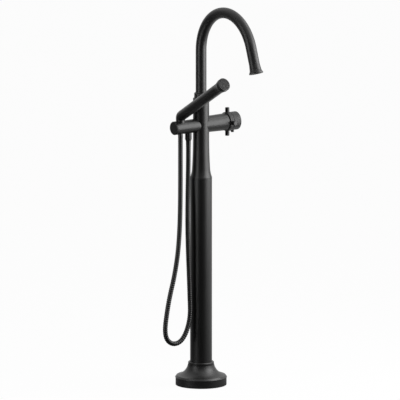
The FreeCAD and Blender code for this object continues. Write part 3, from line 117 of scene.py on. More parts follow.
class Shader:
    """The node tree of one material, or of the world."""

    MIX_SOCKETS = (0, 6, 7)  # the share and the two colours
    MIX_RESULT = 2

    def __init__(self, name: str, tree: bpy.types.NodeTree | None = None) -> None:
        """An empty material, unless a tree is given.

        Args:
            name: the material's name.
            tree: the tree to empty and fill instead of a new material's.
        """
        if tree is None:
            self.material = bpy.data.materials.new(name)
            self.material.use_nodes = True
            tree = self.material.node_tree
        self.tree = tree
        self.tree.nodes.clear()

    def node(self, kind: str, settings: dict[str, object] | None = None,
             inputs: Iterable[object] | dict[str | int, object] = (),
             output: int | str = 0) -> Value | None:
        """Makes one node.

        Args:
            kind: the node's type.
            settings: its own settings, which are set first.
            inputs: the values or links of its sockets, in order or by name.
            output: the socket that is wanted.

        Returns:
            The wanted output, or None if the node has no outputs.
        """
        made = self.tree.nodes.new(kind)
        for key, setting in (settings or {}).items():
            setattr(made, key, setting)
        pairs = inputs.items() if isinstance(inputs, dict) else enumerate(inputs)
        for key, given in pairs:
            if isinstance(given, Value):
                self.tree.links.new(given.socket, made.inputs[key])
            else:
                made.inputs[key].default_value = given
        return Value(self, made.outputs[output]) if len(made.outputs) else None

    def math(self, operation: str, *numbers: object) -> Value:
        """One Math node."""
        return self.node("ShaderNodeMath", {"operation": operation}, numbers)

    def place(self) -> Value:
        """The point on the object, in metres."""
        return self.node("ShaderNodeTexCoord", output="Object")

    def noise(self, scale: float, detail: float = 2.0, point: Value | None = None) -> Value:
        """A cloud of grey between 0 and 1, with so many grains to the metre."""
        inputs = {"Vector": point or self.place(), "Scale": scale, "Detail": detail}
        return self.node("ShaderNodeTexNoise", {}, inputs, "Fac")

    def stretched(self, factors: Triple) -> Value:
        """The object's point, stretched along its axes."""
        return self.node("ShaderNodeMapping", {}, {"Vector": self.place(), "Scale": factors})

    def bump(self, height: Value, depth: float) -> Value:
        """A normal from a height of 0 to 1, whose depth is in metres."""
        inputs = {"Height": height, "Distance": depth, "Strength": 1.0}
        return self.node("ShaderNodeBump", {}, inputs, "Normal")

    def blend(self, share: Value, first: Triple, second: Triple) -> Value:
        """Mixes two colours by the second one's share."""
        inputs = dict(zip(self.MIX_SOCKETS, (share, (*first, 1.0), (*second, 1.0))))
        return self.node("ShaderNodeMix", {"data_type": "RGBA"}, inputs, self.MIX_RESULT)

    def surface(self, **sockets: object) -> bpy.types.Material:
        """Ends the tree with one surface shader.

        Args:
            sockets: the shader's sockets by name, with low lines for blanks.

        Returns:
            The material.
        """
        inputs = {name.replace("_", " "): given for name, given in sockets.items()}
        skin = self.node("ShaderNodeBsdfPrincipled", {}, inputs)
        self.node("ShaderNodeOutputMaterial", {}, {"Surface": skin})
        return self.material


# --- finishes ---
@dataclass(frozen=True)
class Finish:
    """A skin with grain.

    Args:
        name: the material's name.
        tint: the base colour.
        roughness: the middle roughness.
        spread: how far the roughness wanders.
        metallic: 1 for bare metal.
        grain: grains to the metre.
        depth: the grain's depth in metres.
        stretch: factors that draw the grain out along an axis.
        sheen: the specular level.
    """

    CLOUD_GRAINS: ClassVar[float] = 60.0
    DARK_SHARE: ClassVar[float] = 0.8

    name: str
    tint: Triple
    roughness: float
    spread: float = 0.08
    metallic: float = 0.0
    grain: float = 1600.0
    depth: float = 0.00002
    stretch: Triple = (1.0, 1.0, 1.0)
    sheen: float = 0.5

    def height(self, shader: Shader, point: Value) -> Value:
        """The height that the bump is made from."""
        return shader.noise(self.grain, point=point)

    def make(self) -> bpy.types.Material:
        """Makes the material.

        Returns:
            The material.
        """
        shader = Shader(self.name)
        point = shader.stretched(self.stretch)
        cloud = shader.noise(self.grain / self.CLOUD_GRAINS, 3.0, point)
        speck = shader.noise(self.grain, 1.0, point)
        darker = tuple(level * self.DARK_SHARE for level in self.tint)
        wander = (cloud - 0.5) * self.spread + (speck - 0.5) * (self.spread / 2)
        return shader.surface(Base_Color=shader.blend(cloud, darker, self.tint),
                              Roughness=wander + self.roughness,
                              Metallic=self.metallic,
                              Specular_IOR_Level=self.sheen,
                              Normal=shader.bump(self.height(shader, point), self.depth))


@dataclass(frozen=True)
class Knurled(Finish):
    """A skin with a diamond knurl round the valve's axis."""

    axis_height: float = VALVE_HEIGHT * MM
    ridges: float = 90.0  # to the turn
    slant: float = 3500.0  # how far the ridges turn to the metre, in radians

    def height(self, shader: Shader, point: Value) -> Value:
        """Two families of ridges that cross.

        Args:
            shader: the material in the making.
            point: the point on the piece.

        Returns:
            A level between 0 and 1.
        """
        parts = [shader.node("ShaderNodeSeparateXYZ", {}, (point,), key) for key in "XYZ"]
        turn = shader.math("ARCTAN2", parts[2] - self.axis_height, parts[1]) * self.ridges
        lean = parts[0] * self.slant
        crossing = shader.math("SINE", turn + lean) * shader.math("SINE", turn - lean)
        return crossing * 0.5 + 0.5


class Skin:
    """The object's finishes."""

    MATT = Finish("matt_black", (0.001, 0.001, 0.00105), 0.43)
    KNURL = Knurled("knurled_black", (0.004, 0.004, 0.0042), 0.40, depth=0.0002)
    HOSE = Finish("hose_black", (0.001, 0.001, 0.00105), 0.34)
    HANDLE = Finish("handle_black", (0.003, 0.003, 0.0031), 0.38, sheen=0.6)
    FACE = Finish("spray_black", (0.008, 0.008, 0.0082), 0.5, sheen=0.4)
    RUBBER = Finish("rubber", (0.01, 0.01, 0.01), 0.75, sheen=0.4, grain=900.0)
    PALE = Finish("pale_plastic", (0.55, 0.55, 0.53), 0.5)
    DARK = Finish("black_plastic", (0.03, 0.03, 0.031), 0.5)
    STEEL = Finish("steel", (0.56, 0.56, 0.55), 0.32, metallic=1.0, stretch=(1.0, 1.0, 0.1))
    BRASS = Finish("brass", (0.72, 0.52, 0.24), 0.34, metallic=1.0)
    COPPER = Finish("copper", (0.72, 0.36, 0.22), 0.3, metallic=1.0)
    OF_SLOT = {
        "matt_black": MATT, "hose_black": HOSE, "black_plastic": DARK, "plastic": PALE,
        "rubber": RUBBER, "steel": STEEL, "brass": BRASS, "copper": COPPER,
    }

    def __init__(self) -> None:
        """No skin is made yet."""
        self._made: dict[str, bpy.types.Material] = {}

    def __getitem__(self, finish: Finish) -> bpy.types.Material:
        """A skin's material, made when it is first wanted."""
        if finish.name not in self._made:
            self._made[finish.name] = finish.make()
        return self._made[finish.name]


# --- forms ---
class Outline:
    """The outline of a turned piece, in pairs of a radius and a height in millimetres."""

    def __init__(self, radius: float, height: float) -> None:
        """Starts the outline at a point."""
        self.points: list[Vector] = [Vector((radius, height))]

    @classmethod
    def band(cls, inner: float, outer: float, low: float, high: float) -> "Outline":
        """The outline of a plain ring."""
        return cls(inner, low).to((outer, low), (outer, high), (inner, high))

    def to(self, *points: Step) -> "Outline":
        """Straight lines to points."""
        self.points += [Vector(point) for point in points]
        return self

    def bend(self, radius: float, height: float, curve: float, side: Side,
             parts: int = 8) -> "Outline":
        """A short arc to a point.

        Args:
            radius: the point's radius.
            height: the point's height.
            curve: the arc's own radius.
            side: where it bulges, seen along its way.
            parts: how many pieces it is cut into.

        Returns:
            The outline.
        """
        start, end = self.points[-1], Vector((radius, height))
        chord = end - start
        left = Vector((-chord.y, chord.x)).normalized()
        half = chord.length / 2
        centre = (start + end) / 2 - left * side.value * math.sqrt(curve ** 2 - half ** 2)
        turn = -2 * side.value * math.asin(half / curve)
        for part in range(1, parts):
            arm = Matrix.Rotation(turn * part / parts, 2) @ (start - centre)
            self.points.append(centre + arm)
        self.points.append(end)
        return self


class Form:
    """A mesh in the making, in millimetres."""

    def __init__(self) -> None:
        """An empty mesh."""
        self.mesh = bmesh.new()
        self.front: list[bmesh.types.BMEdge] = []

    @classmethod
    def turned(cls, outline: Outline, steps: int = 128) -> "Form":
        """A solid of one outline, turned about its Z axis.

        Args:
            outline: the outline, which starts and ends on the axis or closes on itself.
            steps: how many pieces the turn is cut into.

        Returns:
            The form.
        """
        form = cls()
        spots = [form.mesh.verts.new((point.x, 0.0, point.y)) for point in outline.points]
        chain = list(zip(spots, spots[1:]))
        if outline.points[0].x > 0 or outline.points[-1].x > 0:
            chain.append((spots[-1], spots[0]))
        lines = [form.mesh.edges.new(pair) for pair in chain]
        bmesh.ops.spin(form.mesh, geom=spots + lines, axis=(0, 0, 1), angle=math.tau,
                       steps=steps, use_merge=True)
        return form.heal()

    @classmethod
    def swept(cls, radius: float, steps: int = 64) -> "Form":
        """The start of a swept tube: a ring on the XY plane.

        Args:
            radius: the ring's radius.
            steps: how many sides it has.

        Returns:
            The form.
        """
        form = cls()
        bmesh.ops.create_circle(form.mesh, segments=steps, radius=radius)
        form.front = list(form.mesh.edges)
        return form

    @classmethod
    def copied(cls, node: str) -> "Form":
        """A welded copy of a frame node's mesh.

        Args:
            node: the node's name.

        Returns:
            The form.
        """
        form = cls()
        form.mesh.from_mesh(frame["nodes"][node].data)
        bmesh.ops.scale(form.mesh, vec=(1 / MM,) * 3, verts=form.mesh.verts)
        bmesh.ops.remove_doubles(form.mesh, verts=form.mesh.verts, dist=NODE_WELD)
        return form

    def heal(self) -> "Form":
        """Merges doubles, drops loose edges and turns the faces outwards."""
        bmesh.ops.remove_doubles(self.mesh, verts=self.mesh.verts, dist=WELD)
        loose = [edge for edge in self.mesh.edges if not edge.link_faces]
        bmesh.ops.delete(self.mesh, geom=loose, context="EDGES")
        bmesh.ops.recalc_face_normals(self.mesh, faces=self.mesh.faces)
        return self

    def _grow(self) -> list[bmesh.types.BMVert]:
        """Draws the open ring out on the spot.

        Returns:
            The corners of the new ring.
        """
        grown = bmesh.ops.extrude_edge_only(self.mesh, edges=self.front)["geom"]
        self.front = [part for part in grown if isinstance(part, bmesh.types.BMEdge)]
        return list({spot for edge in self.front for spot in edge.verts})

    def push(self, way: Vector) -> "Form":
        """Draws the open ring out along a straight line."""
        bmesh.ops.translate(self.mesh, verts=self._grow(), vec=way)
        return self

    def curl(self, centre: Vector, angle: float, swell: float = 1.0) -> "Form":
        """Draws the open ring out round an axis along X.

        Args:
            centre: a point of the axis.
            angle: the turn in radians.
            swell: how much wider the ring gets.

        Returns:
            The form.
        """
        rim = self._grow()
        turn = Matrix.Rotation(angle, 3, "X")
        bmesh.ops.rotate(self.mesh, cent=centre, matrix=turn, verts=rim)
        middle = sum((spot.co for spot in rim), Vector()) / len(rim)
        bmesh.ops.scale(self.mesh, vec=(swell,) * 3, space=Matrix.Translation(-middle), verts=rim)
        return self

    def soften(self, reach: float, segments: int = 2, angle: float = 32.0) -> "Form":
        """Rounds the sharp edges.

        Args:
            reach: how wide the rounding is.
            segments: how many strips it has.
            angle: from which angle in degrees an edge counts as sharp.

        Returns:
            The form.
        """
        sharp = [edge for edge in self.mesh.edges if len(edge.link_faces) == 2
                 and edge.calc_face_angle() > math.radians(angle)]
        bmesh.ops.bevel(self.mesh, geom=sharp, offset=reach, segments=segments,
                        profile=0.5, affect="EDGES", clamp_overlap=True, material=-1)
        return self

    def around(self, count: int) -> "Form":
        """Repeats the form evenly round the Z axis.

        Args:
            count: how many there are.

        Returns:
            The form.
        """
        first = list(self.mesh.verts) + list(self.mesh.edges) + list(self.mesh.faces)
        for number in range(1, count):
            copy = bmesh.ops.duplicate(self.mesh, geom=first)["geom"]
            spots = [part for part in copy if isinstance(part, bmesh.types.BMVert)]
            turn = Matrix.Rotation(math.tau * number / count, 3, "Z")
            bmesh.ops.rotate(self.mesh, cent=(0, 0, 0), matrix=turn, verts=spots)
        return self

    def join(self, other: "Form") -> "Form":
        """Takes another form's mesh in.

        Args:
            other: the other form, which is used up.

        Returns:
            The form.
        """
        carrier = bpy.data.meshes.new("carrier")
        other.mesh.to_mesh(carrier)
        other.mesh.free()
        self.mesh.from_mesh(carrier)
        bpy.data.meshes.remove(carrier)
        return self

    def moved(self, place: Matrix) -> "Form":
        """Moves the whole form."""
        bmesh.ops.transform(self.mesh, matrix=place, verts=self.mesh.verts)
        return self


# --- places ---
def raised(x: float, y: float, z: float) -> Matrix:
    """An upright place at a point in millimetres."""
    return Matrix.Translation((x, y, z))


def along_valve(height: float) -> Matrix:
    """The place of a piece that is turned about the valve's axis."""
    return raised(0.0, 0.0, height) @ Matrix.Rotation(math.pi / 2, 4, "Y")


def leaning(x: float, y: float, z: float, lean: float) -> Matrix:
    """The place, in millimetres, of a piece that leans towards -Y by some degrees."""
    return raised(x, y, z) @ Matrix.Rotation(math.radians(lean), 4, "X")


def shown(name: str, data: bpy.types.ID) -> bpy.types.Object:
    """Puts a mesh, a curve, a lamp or a camera into the scene.

    Args:
        name: the object's name.
        data: what it shows.

    Returns:
        The object.
    """
    made = bpy.data.objects.new(name, data)
    bpy.context.scene.collection.objects.link(made)
    return made


# --- sub-assemblies ---
@dataclass
class Assembly:
    """A sub-assembly, whose sizes are in millimetres.

    Args:
        skins: the object's finishes.
        valve_height: the height of the valve's axis.
        holder: how far the hand shower's foot stands to the left of the column's axis.
    """

    skins: Skin
    valve_height: float = VALVE_HEIGHT
    holder: float = 71.0

    def keep(self, form: Form, name: str, finish: Finish, slot: str, body: Body | None,
             nodes: Iterable[str]) -> bpy.types.Object:
        """Ends a form as a piece of the object.

        Args:
            form: the form, in its place.
            name: the piece's name.
            finish: its finish.
            slot: the record's material slot; not used.
            body: the body that it rides on, or None to leave it on no body.
            nodes: the frame nodes that it stands for.

        Returns:
            The piece.
        """
        bmesh.ops.scale(form.mesh, vec=(MM,) * 3, verts=form.mesh.verts)
        mesh = bpy.data.meshes.new(name)
        form.mesh.to_mesh(mesh)
        form.mesh.free()
        mesh.shade_smooth()
        mesh.set_sharp_from_angle(angle=math.radians(SHARP_ANGLE))
        mesh.materials.append(self.skins[finish])
        piece = shown(name, mesh)
        fair = piece.modifiers.new("fair_faces", "WEIGHTED_NORMAL")
        fair.keep_sharp = True
        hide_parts(*nodes)
        if body is not None:
            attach(piece, body.value)
        LOG.info("%s: %d faces", name, len(mesh.polygons))
        return piece

    def black(self, form: Form, name: str, body: Body = Body.ROOT,
              finish: Finish = Skin.MATT) -> bpy.types.Object:
        """Ends a form that stands for the node of its own name, in black."""
        return self.keep(form, f"{name}_shell", finish, "matt_black", body, [name])


@dataclass
class FloorStand(Assembly):
    """The floor flange and the lower column."""

    flange: float = 71.5
    wall: float = 4.0
    rim: float = 20.0
    bead: float = 23.2
    bevel: Step = (69.0, 27.0)
    cove: float = 38.0
    neck: Step = (37.0, 57.2)
    throat: float = 34.0
    groove: float = 35.0
    ring: float = 36.3
    ring_steps: Triple = (1.1, 5.7, 8.7)
    ring_edge: float = 3.0
    column: float = 30.7
    bore: float = 28.2
    foot: float = 8.0
    joint: float = 588.5

    def build(self) -> None:
        """Makes the flange and the column."""
        neck, level = self.neck
        low, side, top = (level + step for step in self.ring_steps)
        inside, under, sleeve = self.flange - self.wall, level - self.wall, self.column + SLIP
        skin = Outline(inside, 0).to((self.flange, 0), (self.flange, self.rim))
        skin.bend(self.flange, self.bead, 1.8, Side.RIGHT, 6).to(self.bevel)
        skin.bend(neck, level, self.cove, Side.LEFT, 20).to((self.groove, level))
        skin.to((self.groove, low), (self.ring, low), (self.ring, side))
        skin.bend(self.ring - self.ring_edge, top, self.ring_edge, Side.RIGHT)
        skin.to((sleeve, top), (sleeve, under), (self.throat, under))
        skin.bend(inside, self.bead, self.cove + self.wall, Side.RIGHT, 16)
        self.black(Form.turned(skin, FINE_STEPS).soften(0.35), "floor_flange")
        tube = Outline.band(self.bore, self.column, self.foot, self.joint)
        self.black(Form.turned(tube).soften(0.4), "lower_column")


@dataclass
class UpperBody(Assembly):
    """The shouldered body above the joint, up to the spout's collar."""

    joint: float = 589.5
    gap: float = 1.0  # the dark line under it
    ring: float = 29.9  # the radius of the ring in that line
    shoulder: float = 30.4
    shoulder_top: float = 1.5
    cove: Step = (25.6, 611.0)
    radius: float = 22.7
    taper_top: float = 699.0
    top: float = 815.0
    bevel: float = 1.6
    bore: float = 20.0
    socket: float = 17.2  # the seat of the collar's plug
    socket_steps: Step = (35.0, 40.0)
    collar: float = 19.4
    collar_top: float = 15.0
    collar_bevel: float = 2.2
    collar_bore: float = 15.55
    plug: float = 17.1
    plug_depth: float = 9.0
    groove: float = 18.6
    groove_top: float = 2.6

    def build(self) -> None:
        """Makes the joint ring, the body and the collar."""
        foot, top = self.joint, self.top
        ring = Outline.band(self.bore, self.ring, foot - self.gap, foot)
        self.black(Form.turned(ring), "column_joint_ring")
        skin = Outline(self.bore, foot).to((self.shoulder, foot),
                                           (self.shoulder, foot + self.shoulder_top))
        skin.bend(*self.cove, 75.0, Side.LEFT, 14)
        skin.bend(self.radius, self.taper_top, 1500.0, Side.LEFT, 14)
        skin.to((self.radius, top - self.bevel), (self.radius - self.bevel, top),
                (self.socket, top), (self.socket, top - self.socket_steps[0]),
                (self.bore, top - self.socket_steps[1]))
        self.black(Form.turned(skin).soften(0.35), "upper_body")
        low, lip, end = top - self.plug_depth, top + self.groove_top, top + self.collar_top
        skirt = Outline(self.collar_bore, low).to(
            (self.plug, low), (self.plug, top), (self.groove, top), (self.groove, lip),
            (self.collar, lip), (self.collar, end - self.collar_bevel),
            (self.collar - self.collar_bevel, end), (self.collar_bore, end))
        self.black(Form.turned(skirt).soften(0.4), "neck_collar")


@dataclass
class Arms(Assembly):
    """The valve's two arms, with the left arm's end cap and the hose outlet."""

    left: float = 19.0
    left_end: float = 95.0  # its end, from the column's axis
    cap: float = 4.0
    cap_edge: float = 2.2
    line: float = 0.5  # the fine groove round the cap
    outlet: float = 43.9  # the outlet's axis, from the column's
    nut: float = 9.25
    nut_bore: float = 3.6
    nut_mouth: float = 7.6
    nut_steps: Triple = (-21.0, -16.0, 2.4)

    def build(self) -> None:
        """Makes the arms, the end cap and the outlet nut."""
        for node in ("right_arm", "left_arm"):
            self.black(Form.copied(node).soften(0.3, angle=50.0), node)
        end, seat = -self.left_end, self.cap - self.left_end
        inset = self.left - self.line
        cap = Outline(0, end).to((self.left - self.cap_edge, end))
        cap.bend(self.left, end + self.cap_edge, self.cap_edge, Side.RIGHT)
        cap.to((self.left, seat - self.line), (inset, seat - self.line), (inset, seat), (0, seat))
        self.black(Form.turned(cap).moved(along_valve(self.valve_height)), "arm_end_cap")
        under = self.valve_height - self.left
        foot, side, top = (under + step for step in self.nut_steps)
        nut = Outline(self.nut_bore, foot).to((self.nut_mouth, foot), (self.nut, side),
                                              (self.nut, top), (self.nut_bore, top))
        form = Form.turned(nut, 64).soften(0.5, 3).moved(raised(-self.outlet, 0, 0))
        self.black(form, "outlet_nut")


@dataclass
class FlowHandle(Assembly):
    """The ring with four pins that sets the flow."""

    start: float = 83.8
    end: float = 97.0
    ring: float = 27.0
    edge: float = 1.2
    bore: float = 9.1
    pin: float = 6.0
    pin_edge: float = 0.8
    root: float = 17.0  # where the pins start inside the ring
    reach: float = 40.0
    count: int = 4

    def build(self) -> None:
        """Makes the ring and its pins."""
        axis = along_valve(self.valve_height)
        side, start, end = self.ring - self.edge, self.start, self.end
        ring = Outline(self.bore, start).to(
            (side, start), (self.ring, start + self.edge), (self.ring, end - self.edge),
            (side, end), (self.bore, end))
        form = Form.turned(ring).soften(0.3).moved(axis)
        self.black(form, "handle_ring", Body.FLOW, Skin.KNURL)
        bar = Outline(0, self.root).to(
            (self.pin, self.root), (self.pin, self.reach - self.pin_edge),
            (self.pin - self.pin_edge, self.reach), (0, self.reach))
        pins = Form.turned(bar, 64).soften(0.35).moved(Matrix.Rotation(math.pi / 2, 4, "X"))
        middle = raised(0, 0, (start + end) / 2)
        self.black(pins.around(self.count).moved(axis @ middle), "handle_pins", Body.FLOW)


@dataclass
class TemperatureKnob(Assembly):
    """The knurled knob at the valve's end, with its cap and its push button."""

    start: float = 97.5  # the knob's ends, from the column's axis
    end: float = 121.5
    radius: float = 25.75
    edge: float = 1.6
    wall: float = 3.2
    recess: float = 2.9
    cap: float = 21.0
    cap_edge: float = 0.5
    button: float = 4.5
    button_edge: float = 0.9
    button_place: float = 108.0
    button_reach: float = 31.7  # its end, from the valve's axis
    flange: float = 5.6
    flange_sides: Step = (20.2, 21.5)

    def build(self) -> None:
        """Makes the knob, the cap and the button."""
        axis = along_valve(self.valve_height)
        inner, side, end = self.radius - self.wall, self.radius - self.edge, self.end
        seat = end - self.recess
        knob = Outline(inner, self.start).to((side, self.start))
        knob.bend(self.radius, self.start + self.edge, self.edge, Side.RIGHT, 5)
        knob.to((self.radius, end - self.edge)).bend(side, end, self.edge, Side.RIGHT, 5)
        knob.to((self.cap + SLIP, end), (self.cap + SLIP, seat), (inner, seat))
        form = Form.turned(knob, FINE_STEPS).moved(axis)
        self.black(form, "temperature_knob", Body.HEAT, Skin.KNURL)
        top = end - self.cap_edge
        lid = Outline(0, seat).to((self.cap, seat), (self.cap, top - self.cap_edge),
                                  (self.cap - self.cap_edge, top), (0, top))
        self.black(Form.turned(lid).soften(0.2).moved(axis), "knob_cap", Body.HEAT)
        (low, high), reach = self.flange_sides, self.button_reach
        stud = Outline(0, low).to((self.flange, low), (self.flange, high), (self.button, high),
                                  (self.button, reach - self.button_edge))
        stud.bend(self.button - self.button_edge, reach, self.button_edge, Side.RIGHT, 5)
        stud.to((0, reach))
        under = raised(self.button_place, 0, self.valve_height) @ Matrix.Rotation(math.pi, 4, "X")
        self.black(Form.turned(stud, 48).soften(0.2).moved(under), "safety_button", Body.BUTTON)


@dataclass
class Spout(Assembly):
    """The gooseneck tube with its outlet and aerator."""

    foot: float = 784.4
    radius: float = 15.15
    wall: float = 2.5
    bend_height: float = 949.8
    bend_radius: float = 122.0
    bend_angle: float = 160.5
    rises: int = 4  # the pieces that the rise and the bend are cut into
    turns: int = 72
    tail: float = 48.6
    outlet: float = 25.0
    plug: float = 12.55  # the bore of the outlet's plug inside the tube
    plug_depth: float = 12.0
    tail_bore: float = 12.6
    flare: Step = (16.4, 11.0)
    lip: float = 19.9
    lip_height: float = 3.0
    mouth: float = 14.6
    mouth_depth: float = 20.0
    aerator: Step = (12.7, 14.5)
    aerator_depths: Step = (18.5, 4.5)

    def tail_place(self) -> Matrix:
        """The place of what sits on the straight tail, from the bend's end."""
        angle = math.radians(self.bend_angle)
        return leaning(0.0, self.bend_radius * (math.cos(angle) - 1),
                       self.bend_height + self.bend_radius * math.sin(angle), self.bend_angle)

    def tube(self) -> Form:
        """The tube: a straight rise, the bend and the tail.

        Returns:
            The form.
        """
        form = Form.swept(self.radius, 96).moved(raised(0, 0, self.foot))
        for _ in range(self.rises):
            form.push(Vector((0, 0, (self.bend_height - self.foot) / self.rises)))
        angle = math.radians(self.bend_angle)
        centre = Vector((0, -self.bend_radius, self.bend_height))
        for _ in range(self.turns):
            form.curl(centre, angle / self.turns)
        form.push(Vector((0, -math.sin(angle), math.cos(angle))) * self.tail)
        bmesh.ops.recalc_face_normals(form.mesh, faces=form.mesh.faces)
        bmesh.ops.solidify(form.mesh, geom=list(form.mesh.faces), thickness=self.wall)
        return form

    def build(self) -> None:
        """Makes the tube, the outlet and the aerator."""
        self.black(self.tube(), "spout_tube", Body.SPOUT)
        place, start, end = self.tail_place(), self.tail, self.tail + self.outlet
        outlet = Outline(self.plug, start - self.plug_depth).to(
            (self.tail_bore, start), (self.radius, start), (self.flare[0], start + self.flare[1]))
        outlet.bend(self.lip, end - self.lip_height, 16.0, Side.LEFT, 10)
        roof = end - self.mouth_depth
        outlet.to((self.lip, end), (self.mouth, end), (self.mouth, roof), (self.plug, roof))
        self.black(Form.turned(outlet).soften(0.4).moved(place), "spout_outlet", Body.SPOUT)
        rim = Outline.band(*self.aerator, *(end - depth for depth in self.aerator_depths))
        self.keep(Form.turned(rim, 96).soften(0.3).moved(place), "aerator_housing_shell", Skin.DARK,
                  "black_plastic", Body.SPOUT, ["aerator_housing"])


@dataclass
class HandShower(Assembly):
    """The stick hand shower, from its skirt in the holder to its spray face."""

    skirt: float = 12.6
    skirt_foot: float = 749.0
    neck_foot: float = 758.0
    nut_room: float = 9.1
    elbow_foot: float = 760.0
    elbow_bend: float = 16.0
    elbow_steps: int = 24
    lean: float = 59.7
    stick: float = 14.5  # the stick's radius at the elbow, and at the head
    stick_head: float = 15.25
    stick_bores: Step = (12.3, 13.0)
    head_start: float = 205.5  # from here on, distances along the stick
    head_bores: Step = (12.6, 12.7)
    head_plug: float = 8.0
    ring_start: float = 230.5
    face: float = 240.9
    head: float = 18.75
    head_wall: float = 1.8
    ring_step: Step = (0.8, 1.2)
    ring_edge: float = 1.2
    spray: float = 16.15
    spray_seat: float = 4.0
    spray_rise: float = 0.7
    spray_edge: float = 0.5
    nozzle: float = 0.75
    nozzle_tip: float = 0.45
    nozzle_steps: Triple = (0.5, 1.3, 1.5)
    rings: tuple[tuple[float, int], ...] = ((4.25, 6), (8.5, 12), (12.75, 18))

    def elbow(self) -> Form:
        """The skirt and the elbow that swells to the stick's width.

        Returns:
            The form.
        """
        form = Form.swept(self.nut_room).moved(raised(0, 0, self.neck_foot - self.elbow_foot))
        form.push(Vector((0, 0, self.skirt_foot - self.neck_foot)))
        form.curl(Vector(), 0.0, self.skirt / self.nut_room)
        form.push(Vector((0, 0, self.elbow_foot - self.skirt_foot)))
        centre, width, steps = Vector((0, -self.elbow_bend, 0)), self.skirt, self.elbow_steps
        for step in range(1, steps + 1):
            growth = math.sin(step / steps * math.pi / 2)
            wanted = self.skirt + (self.stick - self.skirt) * growth
            form.curl(centre, math.radians(self.lean) / steps, wanted / width)
            width = wanted
        bmesh.ops.holes_fill(form.mesh, edges=form.mesh.edges, sides=0)
        bmesh.ops.recalc_face_normals(form.mesh, faces=form.mesh.faces)
        return form.moved(raised(-self.holder, 0, self.elbow_foot))

    def spray_face(self) -> Form:
        """The proud disc of the head.

        Returns:
            The form.
        """
        seat, top = self.face - self.spray_seat, self.face + self.spray_rise
        disc = Outline(0, seat).to((self.spray, seat), (self.spray, top - self.spray_edge),
                                   (self.spray - self.spray_edge, top), (0, top))
        return Form.turned(disc, 96).soften(0.15)

    def nozzles(self) -> Form:
        """The soft nozzles that stand in rings on the disc.

        Returns:
            The form.
        """
        form = Form()
        base, side, top = (self.face + step for step in self.nozzle_steps)
        for ring, count in self.rings:
            tip = Outline(0, base).to((self.nozzle, base), (self.nozzle, side),
                                      (self.nozzle_tip, top), (0, top))
            form.join(Form.turned(tip, 12).moved(raised(ring, 0, 0)).around(count))
        return form

    def ring(self) -> Form:
        """The ring round the disc, with a fine groove before it.

        Returns:
            The form.
        """
        inner, seat = self.head - self.head_wall, self.face - self.spray_seat
        groove, start = self.head - self.ring_step[0], self.ring_start + self.ring_step[1]
        ring = Outline(inner, self.ring_start).to((groove, self.ring_start), (groove, start),
                                                  (self.head, start))
        ring.to((self.head, self.face - self.ring_edge))
        ring.bend(self.head - self.ring_edge, self.face, self.ring_edge, Side.RIGHT, 5)
        ring.to((self.spray + SLIP, self.face), (self.spray + SLIP, seat), (inner, seat))
        return Form.turned(ring)

    def build(self) -> None:
        """Makes the elbow, the stick and the head."""
        reach = self.elbow_bend * math.tan(math.radians(self.lean) / 2)
        place = leaning(-self.holder, 0, self.elbow_foot + reach, self.lean)
        self.black(self.elbow(), "shower_elbow", Body.SHOWER)
        start, seam = self.head_start, self.ring_start
        stick = Outline(self.stick_bores[0], reach).to(
            (self.stick, reach), (self.stick_head, start), (self.stick_bores[1], start))
        flare = Outline(self.head_bores[0], start - self.head_plug).to(
            (self.head_bores[1], start), (self.stick_head, start))
        flare.bend(self.head, seam, 90.0, Side.LEFT, 12)
        flare.to((self.head - self.head_wall, seam))
        for form, name in ((Form.turned(stick), "shower_stick"),
                           (Form.turned(flare), "head_shell"), (self.ring(), "head_ring")):
            self.black(form.moved(place), name, Body.SHOWER, Skin.HANDLE)
        self.black(self.spray_face().moved(place), "spray_face", Body.SHOWER, Skin.FACE)
        self.keep(self.nozzles().moved(place), "spray_mat_nozzles", Skin.RUBBER, "rubber",
                  Body.SHOWER, ["spray_mat"])


